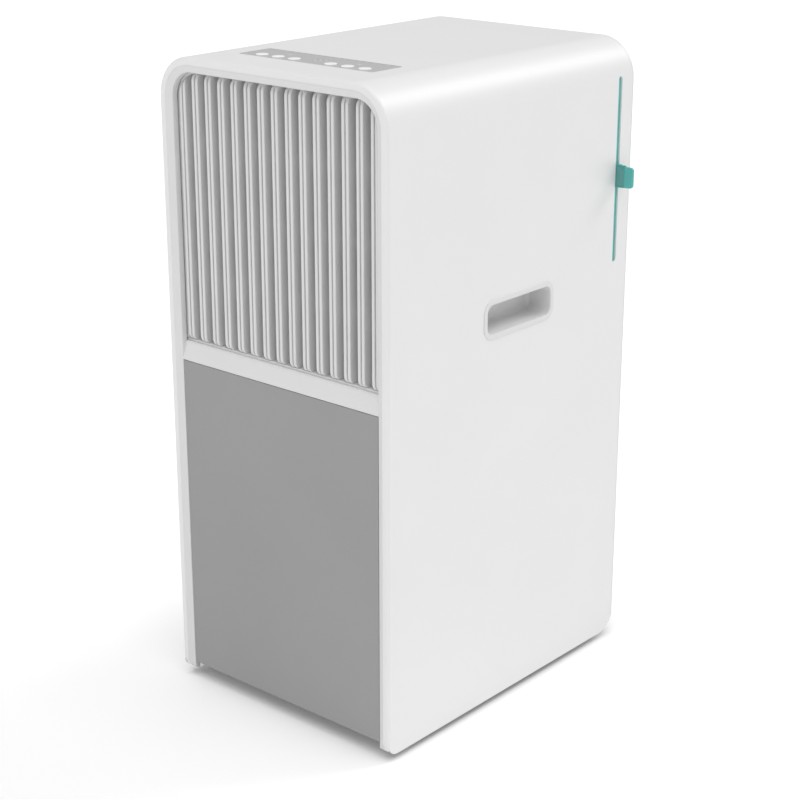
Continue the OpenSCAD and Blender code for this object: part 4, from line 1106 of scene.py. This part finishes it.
class DEHUM_OT_tank(PieceOperator, bpy.types.Operator):
    """Builds the water tank, its lid and its carrying bail"""

    bl_idname = "dehum.tank"
    bl_label = "Water Tank"

    def build(self, settings):
        lid, handle = box("tank_lid"), box("tank_handle")
        pivot = (handle[1].y - 4, (handle[0].z + handle[1].z) / 2)
        self.bowl(lid[0].z - 0.1)
        self.lid(*lid, *pivot)
        self.bail(*handle, *pivot)

    def bowl(self, top):
        """The walls, the fascia with its finger scoop, and the rod that guides the float."""
        lo, hi, (_, _, cz) = box("tank")
        x, h, wall, face, root = hi.x, hi.z - lo.z, 2.5, hi.y - 5, lo.z
        cy, d = (lo.y + face + 0.5) / 2, face + 0.5 - lo.y
        walls = [(5, root), (1.6, root + 1.2), (0.3, root + 4), (0, root + 8), (0, top - 1), (0.4, top),
                 (wall - 0.4, top), (wall, top - 1), (wall, root + 10), (wall + 1, root + 4.5),
                 (wall + 4, root + 2.6)]
        fascia = solid(loft, "Y", [(y, 2 * x - 2 * i, h - 2 * i, max(3 - i, 1), 0, cz) for i, y in (
            (0, face), (0, hi.y - 1), (0.3, hi.y - 0.35), (1.1, hi.y))])
        scoop = solid(loft, "Y", [(y, w, k, r, 0, top - 18, 8) for w, k, r, y in (
            (92, 18, 7, face + 1.5), (100, 26, 10, face + 1.8), (106, 31, 12, face + 2.8),
            (110, 34, 13, hi.y - 0.4), (113, 37, 14, hi.y + 1))])
        bm = bmesh.new()
        loft(bm, "Z", [(z, 2 * x - 2 * i, d - 2 * i, max(9 - i, 2), 0, cy) for i, z in walls])
        reopened(carve(fascia, scoop), bm)
        flo, _, (fx, fy, _) = box("tank_float")
        rod(bm, "Z", (fx, fy), 4, lo.z + 2, top - 4)
        stop = flo.z
        lathe(bm, "Z", (fx, fy), [(0, stop - 4), (8, stop - 4), (8, stop - 1.2), (7.4, stop - 0.4),
                                  (0, stop - 0.3)])
        settle(raw(bm), "tank", soft=0.4)

    def lid(self, lo, hi, middle, py, pz):
        """The lid with the spout's opening and the two ears that hold the bail."""
        z0, z1, ear_x, ear_r, hole_y = lo.z, lo.z + 3, 88, 7, 150
        bm = bmesh.new()
        loft(bm, "Z", [(z, hi.x * 2 - 2 * i, hi.y - lo.y - 2 * i, max(8 - i, 2), 0, middle[1])
                       for i, z in ((0, z0), (0, z1 - 0.8), (0.3, z1 - 0.2), (1, z1), (6, z1),
                                    (6.8, z1 - 0.8), (8, z1 - 0.9))])
        opening = solid(block, "Z", rounded(60, 28, 5, 0, hole_y), z0 - OVER, z1 + OVER)
        bm = reopened(carve(raw(bm), opening))
        ear = [(py - ear_r, z1 - 1.2), *arc(py, pz, ear_r, 180, 0, 12), (py + ear_r, z1 - 1.2)]
        for s in (-1, 1):
            block(bm, "X", ear, s * ear_x - 3, s * ear_x + 3)
        pin_hole = solid(rod, "X", (py, pz), 3.05, -100, 100)
        settle(carve(raw(bm), pin_hole), "tank_lid", soft=0.3)

    def bail(self, lo, hi, _, py, pz):
        """The bail: one bar bent at two corners, with an eye and a pin at each end."""
        reach, ax, bend = hi.y - lo.y - 8, hi.x - 3, 14
        centre_y = py - reach + bend
        path = [(-ax, py), (-ax, centre_y)]
        path += [(-ax + bend - bend * math.cos(a), centre_y - bend * math.sin(a))
                 for a in [math.radians(15 * i) for i in range(1, 7)]]
        path += [(-x, y) for x, y in path[::-1]]
        rings = []
        for i, (x, y) in enumerate(path):
            a, b = Vector(path[max(i - 1, 0)]), Vector(path[min(i + 1, len(path) - 1)])
            way = (b - a).normalized()
            rings.append([(x + way.y * u, y - way.x * u, pz + v)
                          for u, v in rounded(6, 7.8, 2.6, steps=4)])
        bm = bmesh.new()
        skin(bm, rings)
        for s in (-1, 1):
            lathe(bm, "X", (py, pz), [(0, s * (ax - 3)), (4, s * (ax - 3)), (4, s * (ax + 2.4)),
                                      (3.4, s * (ax + 3)), (0, s * (ax + 3))], 24)
            rod(bm, "X", (py, pz), 3, s * 85, s * (ax - 2.5))
        settle(raw(bm), "tank_handle")


class DEHUM_OT_rear_fittings(PieceOperator, bpy.types.Operator):
    """Builds the drain spigot and plug, the mains inlet and the cover's screws"""

    bl_idname = "dehum.rear_fittings"
    bl_label = "Rear Fittings"

    def build(self, settings):
        self.drain()
        self.inlet()
        self.screws()

    def drain(self):
        lo, hi, _ = box("drain_spigot")
        plo, phi, (x, _, z) = box("drain_plug")
        bore, barb, elbow = 5.5, 7.9, 8.6
        start, root, end = lo.y + elbow, BACK - POCKET, hi.y
        bm = bmesh.new()
        lathe(bm, "Y", (x, z), [
            (bore, start), (elbow, start), (elbow, root + 0.4), (barb - 0.5, root + 0.5),
            (barb - 0.5, end - 9), (barb, end - 8.4), (barb - 0.5, end - 5), (barb, end - 4.4),
            (barb - 0.9, end), (bore, end)], 40, hollow=True)
        lathe(bm, "Z", (x, start), [(0, z - elbow), (4.5, z - 7.4), (7.4, z - 4.4), (elbow, z),
                                    (elbow, hi.z), (bore, hi.z), (bore, z + 2), (0, z + 2)], 40)
        settle(raw(bm), "drain_spigot", soft=0.15)
        bm = bmesh.new()
        head, end, stem = phi.y - 3.8, phi.y, 5.4
        lathe(bm, "Y", (x, z), [(0, plo.y), (4.6, plo.y), (stem, plo.y + 1), (stem, head), (7.3, head),
                                (7.3, end - 0.9), (6.7, end - 0.2), (6, end), (0, end - 0.4)], 40)
        block(bm, "Y", rounded(9, 1.6, 0.7, x, z), end - 0.6, end + 0.9)
        settle(raw(bm), "drain_plug", soft=0.12)

    def inlet(self):
        """The mains inlet: a body whose mouth has its two top corners cut off, and three pins."""
        lo, hi, (x, _, z) = box("power_inlet")
        w, h, wall, cut = hi.x - lo.x, hi.z - lo.z, 2, 4.5
        a, b = w / 2 - wall, h / 2 - wall
        mouth = [(x - a, z - b), (x + a, z - b), (x + a, z + b - cut), (x + a - cut, z + b),
                 (x - a + cut, z + b), (x - a, z + b - cut)]
        body = solid(loft, "Y", [(lo.y, w, h, 2, x, z), (hi.y - 0.5, w, h, 2, x, z),
                                 (hi.y, w - 0.6, h - 0.6, 1.8, x, z)])
        settle(carve(body, solid(block, "Y", mouth, lo.y + 6, hi.y + 3)), "power_inlet", soft=0.25)
        bm = bmesh.new()
        for px, pz in ((-7, -2), (0, 2), (7, -2)):
            loft(bm, "Y", [(lo.y + y, 2 * k, 4 * k, 0.6 * k, x + px, z + pz, 3)
                           for k, y in ((1, 5), (1, 12), (0.6, 13))])
        settle(raw(bm), "power_inlet_pins", part="power_inlet", finish=finish_of("nut_brass"))

    def screws(self):
        lo, hi, _ = box("cover_screws")
        start, end = lo.y, hi.y
        screw = solid(lathe, "Y", (0, 0), [
            (0, start), (0.9, start), (1.5, start + 2), (1.5, end - 1.7), (4, end - 1.7), (4, end - 0.8),
            (3.4, end - 0.2), (2.4, end), (0, end)], 28)
        for w, h in ((4, 0.9), (0.9, 4)):
            carve(screw, solid(block, "Y", rounded(w, h, 0.2, steps=2), end - 1.1, end + 1))
        bm = bmesh.new()
        for x, z in screw_places():
            first = len(bm.verts)
            bm.from_mesh(screw.data)
            bmesh.ops.translate(bm, vec=(x * MM, 0, z * MM), verts=list(bm.verts)[first:])
        bpy.data.objects.remove(screw)
        to_mm(bm)
        settle(raw(bm), "cover_screws")


class DEHUM_OT_wheels(PieceOperator, bpy.types.Operator):
    """Builds the four caster wheels: a tyre with round shoulders on a spoked hub"""

    bl_idname = "dehum.wheels"
    bl_label = "Caster Wheels"

    def build(self, settings):
        for corner in ("fl", "fr", "rl", "rr"):
            name = "caster_wheel_" + corner
            lo, hi, (xc, y, z) = box(name)
            r, half = (hi.z - lo.z) / 2, (hi.x - lo.x) / 2
            web = half - 4.5
            side = [(3.1, half), (5.4, half), (5.8, half - 0.5), (5.8, web), (12.6, web),
                    (12.9, half - 0.6), (13.4, half - 0.1), (r - 2.4, half - 0.1), (r - 0.9, half - 1.2),
                    (r - 0.2, half - 3), (r, half - 5)]
            profile = [(a, xc - b) for a, b in side] + [(a, xc + b) for a, b in side[::-1]]
            ob = solid(lathe, "X", (y, z), profile, 48, hollow=True)
            inset = half - 0.9
            spoke = solid(block, "X", rounded(1.4, 7.4, 0.3, 0, 9.2, 2), xc - inset, xc + inset)
            repeat(ob, ring_tree, item=spoke, count=6, start=(0.0, y * MM, z * MM), axis=(1.0, 0.0, 0.0),
                   finish=finish_of("caster_tyre"))
            settle(apply(ob, spoke), name)


CAMERA_PLACE = (1.2223, -1.4243, 0.9663)  # in metres

# CAD pieces whose shape is right: copied, merged, and their edges softened by so many millimetres
CLEANED = {
    "base_tray": 0.8, "control_board": 0.2, "button_switches": 0.2, "filter_guide": 0.3,
    "evaporator_tubes": 0, "condenser_tubes": 0, "drip_tray": 0.5, "fan_shroud": 0.5,
    "motor_bracket": 0.6, "fan_motor": 1.2, "motor_shaft": 0.4, "fan_nut": 0.4, "compressor": 0.9,
    "compressor_grommets": 0.8, "suction_pipe": 0, "discharge_pipe": 0, "capillary_tube": 0,
    "filter_drier": 0.8, "tank_bay": 0.5, "tank_float": 2.0, "float_switch": 0.5, "main_board": 0.3,
    "run_capacitor": 0.6, "humidity_sensor": 0.5, "caster_plates": 0.8, "caster_fork_fl": 0.5,
    "caster_fork_fr": 0.5, "caster_fork_rl": 0.5, "caster_fork_rr": 0.5,
}


class DEHUM_OT_inner_pieces(PieceOperator, bpy.types.Operator):
    """Finishes the inner pieces: each CAD shape merged, its edges softened and its surface smoothed"""

    bl_idname = "dehum.inner_pieces"
    bl_label = "Inner Pieces"

    def build(self, settings):
        merged, flat = 2e-6, math.radians(0.6)  # the CAD mesh is in metres
        for name, soft in CLEANED.items():
            bm = bmesh.new()
            bm.from_mesh(frame["nodes"][name].data)
            bmesh.ops.remove_doubles(bm, verts=bm.verts, dist=merged)
            bmesh.ops.dissolve_limit(bm, angle_limit=flat, verts=bm.verts, edges=bm.edges)
            to_mm(bm)
            settle(raw(bm), name, soft=soft)


class DEHUM_OT_stage(PieceOperator, bpy.types.Operator):
    """Sets the pale floor, the soft studio light and the camera"""

    bl_idname = "dehum.stage"
    bl_label = "Stage"

    def build(self, settings):
        s = settings.stage
        self.ground(s)
        self.studio(s)
        self.view(s)

    def ground(self, s):
        reach, below = 30000, -0.1  # half the floor's side and its height, in millimetres
        corners = [[(x, y, below) for y in (-reach, reach)] for x in (-reach, reach)]
        bm = bmesh.new()
        skin(bm, corners, loop=False, ends=False)
        floor = raw(bm, "floor")
        if floor.data.polygons[0].normal.z < 0:
            floor.data.flip_normals()
        floor.data.materials.append(surface(
            "lit_studio_paper", s.floor, darker(s.floor, 0.99), 3.0, 0.9, 0.02, 500,
            Emission_Color=(1, 1, 1, 1), Emission_Strength=s.floor_glow))

    def studio(self, s):
        scene = bpy.context.scene
        scene.world = bpy.data.worlds.new("Studio")
        scene.world.use_nodes = True
        tree = scene.world.node_tree
        tree.nodes.clear()
        seen = node(tree, "ShaderNodeLightPath").outputs["Is Camera Ray"]
        glow, card = (node(tree, "ShaderNodeBackground", {"Color": (1, 1, 1, 1), "Strength": level})
                      for level in (s.ambient, 1.0))
        mix = node(tree, "ShaderNodeMixShader", {0: seen, 1: glow.outputs[0], 2: card.outputs[0]})
        node(tree, "ShaderNodeOutputWorld", {"Surface": mix.outputs[0]})
        # (name, white level face on, where from, softness in degrees)
        for name, level, way, spread in (
                ("studio_key", s.key, (0.22, -0.26, 0.94), 60),
                ("studio_rim", s.rim, (0.33, 0.72, 0.62), 25),
                ("studio_fill", s.fill, (-0.45, -0.85, 0.25), 60)):
            sun = bpy.data.lights.new(name, "SUN")
            sun.energy, sun.angle = level * math.pi, math.radians(spread)
            ob = bpy.data.objects.new(name, sun)
            ob.rotation_euler = Vector(way).to_track_quat("Z", "Y").to_euler()
            scene.collection.objects.link(ob)

    def view(self, s):
        scene = bpy.context.scene
        camera = bpy.data.cameras.new("camera")
        camera.lens, camera.sensor_width = s.lens, 36
        camera.clip_start, camera.clip_end = 0.05, 50
        ob = bpy.data.objects.new("camera", camera)
        ob.location = CAMERA_PLACE
        level = math.cos(s.pitch)
        away = Vector((math.sin(s.azimuth) * level, -math.cos(s.azimuth) * level, math.sin(s.pitch)))
        ob.rotation_euler = (-away).to_track_quat("-Z", "Y").to_euler()
        scene.collection.objects.link(ob)
        scene.camera = ob
        scene.view_settings.view_transform = "Standard"


OPERATORS = (
    DEHUM_OT_stage, DEHUM_OT_cabinet, DEHUM_OT_front_frame, DEHUM_OT_lower_panel, DEHUM_OT_louvre,
    DEHUM_OT_rear_cover, DEHUM_OT_grips, DEHUM_OT_controls, DEHUM_OT_air_filter, DEHUM_OT_fan,
    DEHUM_OT_coils, DEHUM_OT_tank, DEHUM_OT_rear_fittings, DEHUM_OT_wheels, DEHUM_OT_inner_pieces,
)


class DEHUM_PT_build(bpy.types.Panel):
    """Lists the steps that build the dehumidifier"""

    bl_label = "Dehumidifier"
    bl_idname = "DEHUM_PT_build"
    bl_space_type = "VIEW_3D"
    bl_region_type = "UI"
    bl_category = "Dehumidifier"

    def draw(self, context):
        for group in context.scene.dehumidifier.bl_rna.properties:
            if group.type != "POINTER" or group.identifier == "rna_type":
                continue
            column = self.layout.box().column()
            column.label(text=group.name)
            settings = getattr(context.scene.dehumidifier, group.identifier)
            for item in settings.bl_rna.properties:
                if item.identifier not in ("rna_type", "name"):
                    column.prop(settings, item.identifier)
        for operator in OPERATORS:
            self.layout.operator(operator.bl_idname)


GROUPS = (CabinetLook, FrontLook, ControlLook, FilterLook, StageLook, DehumidifierLook)


def register():
    for item in (*GROUPS, *OPERATORS, DEHUM_PT_build):
        bpy.utils.register_class(item)
    bpy.types.Scene.dehumidifier = PointerProperty(type=DehumidifierLook)


def unregister():
    del bpy.types.Scene.dehumidifier
    for item in (DEHUM_PT_build, *OPERATORS[::-1], *GROUPS[::-1]):
        bpy.utils.unregister_class(item)


def main():
    register()
    for operator in OPERATORS:
        group, name = operator.bl_idname.split(".")
        getattr(getattr(bpy.ops, group), name)()


if __name__ == "__main__":
    main()
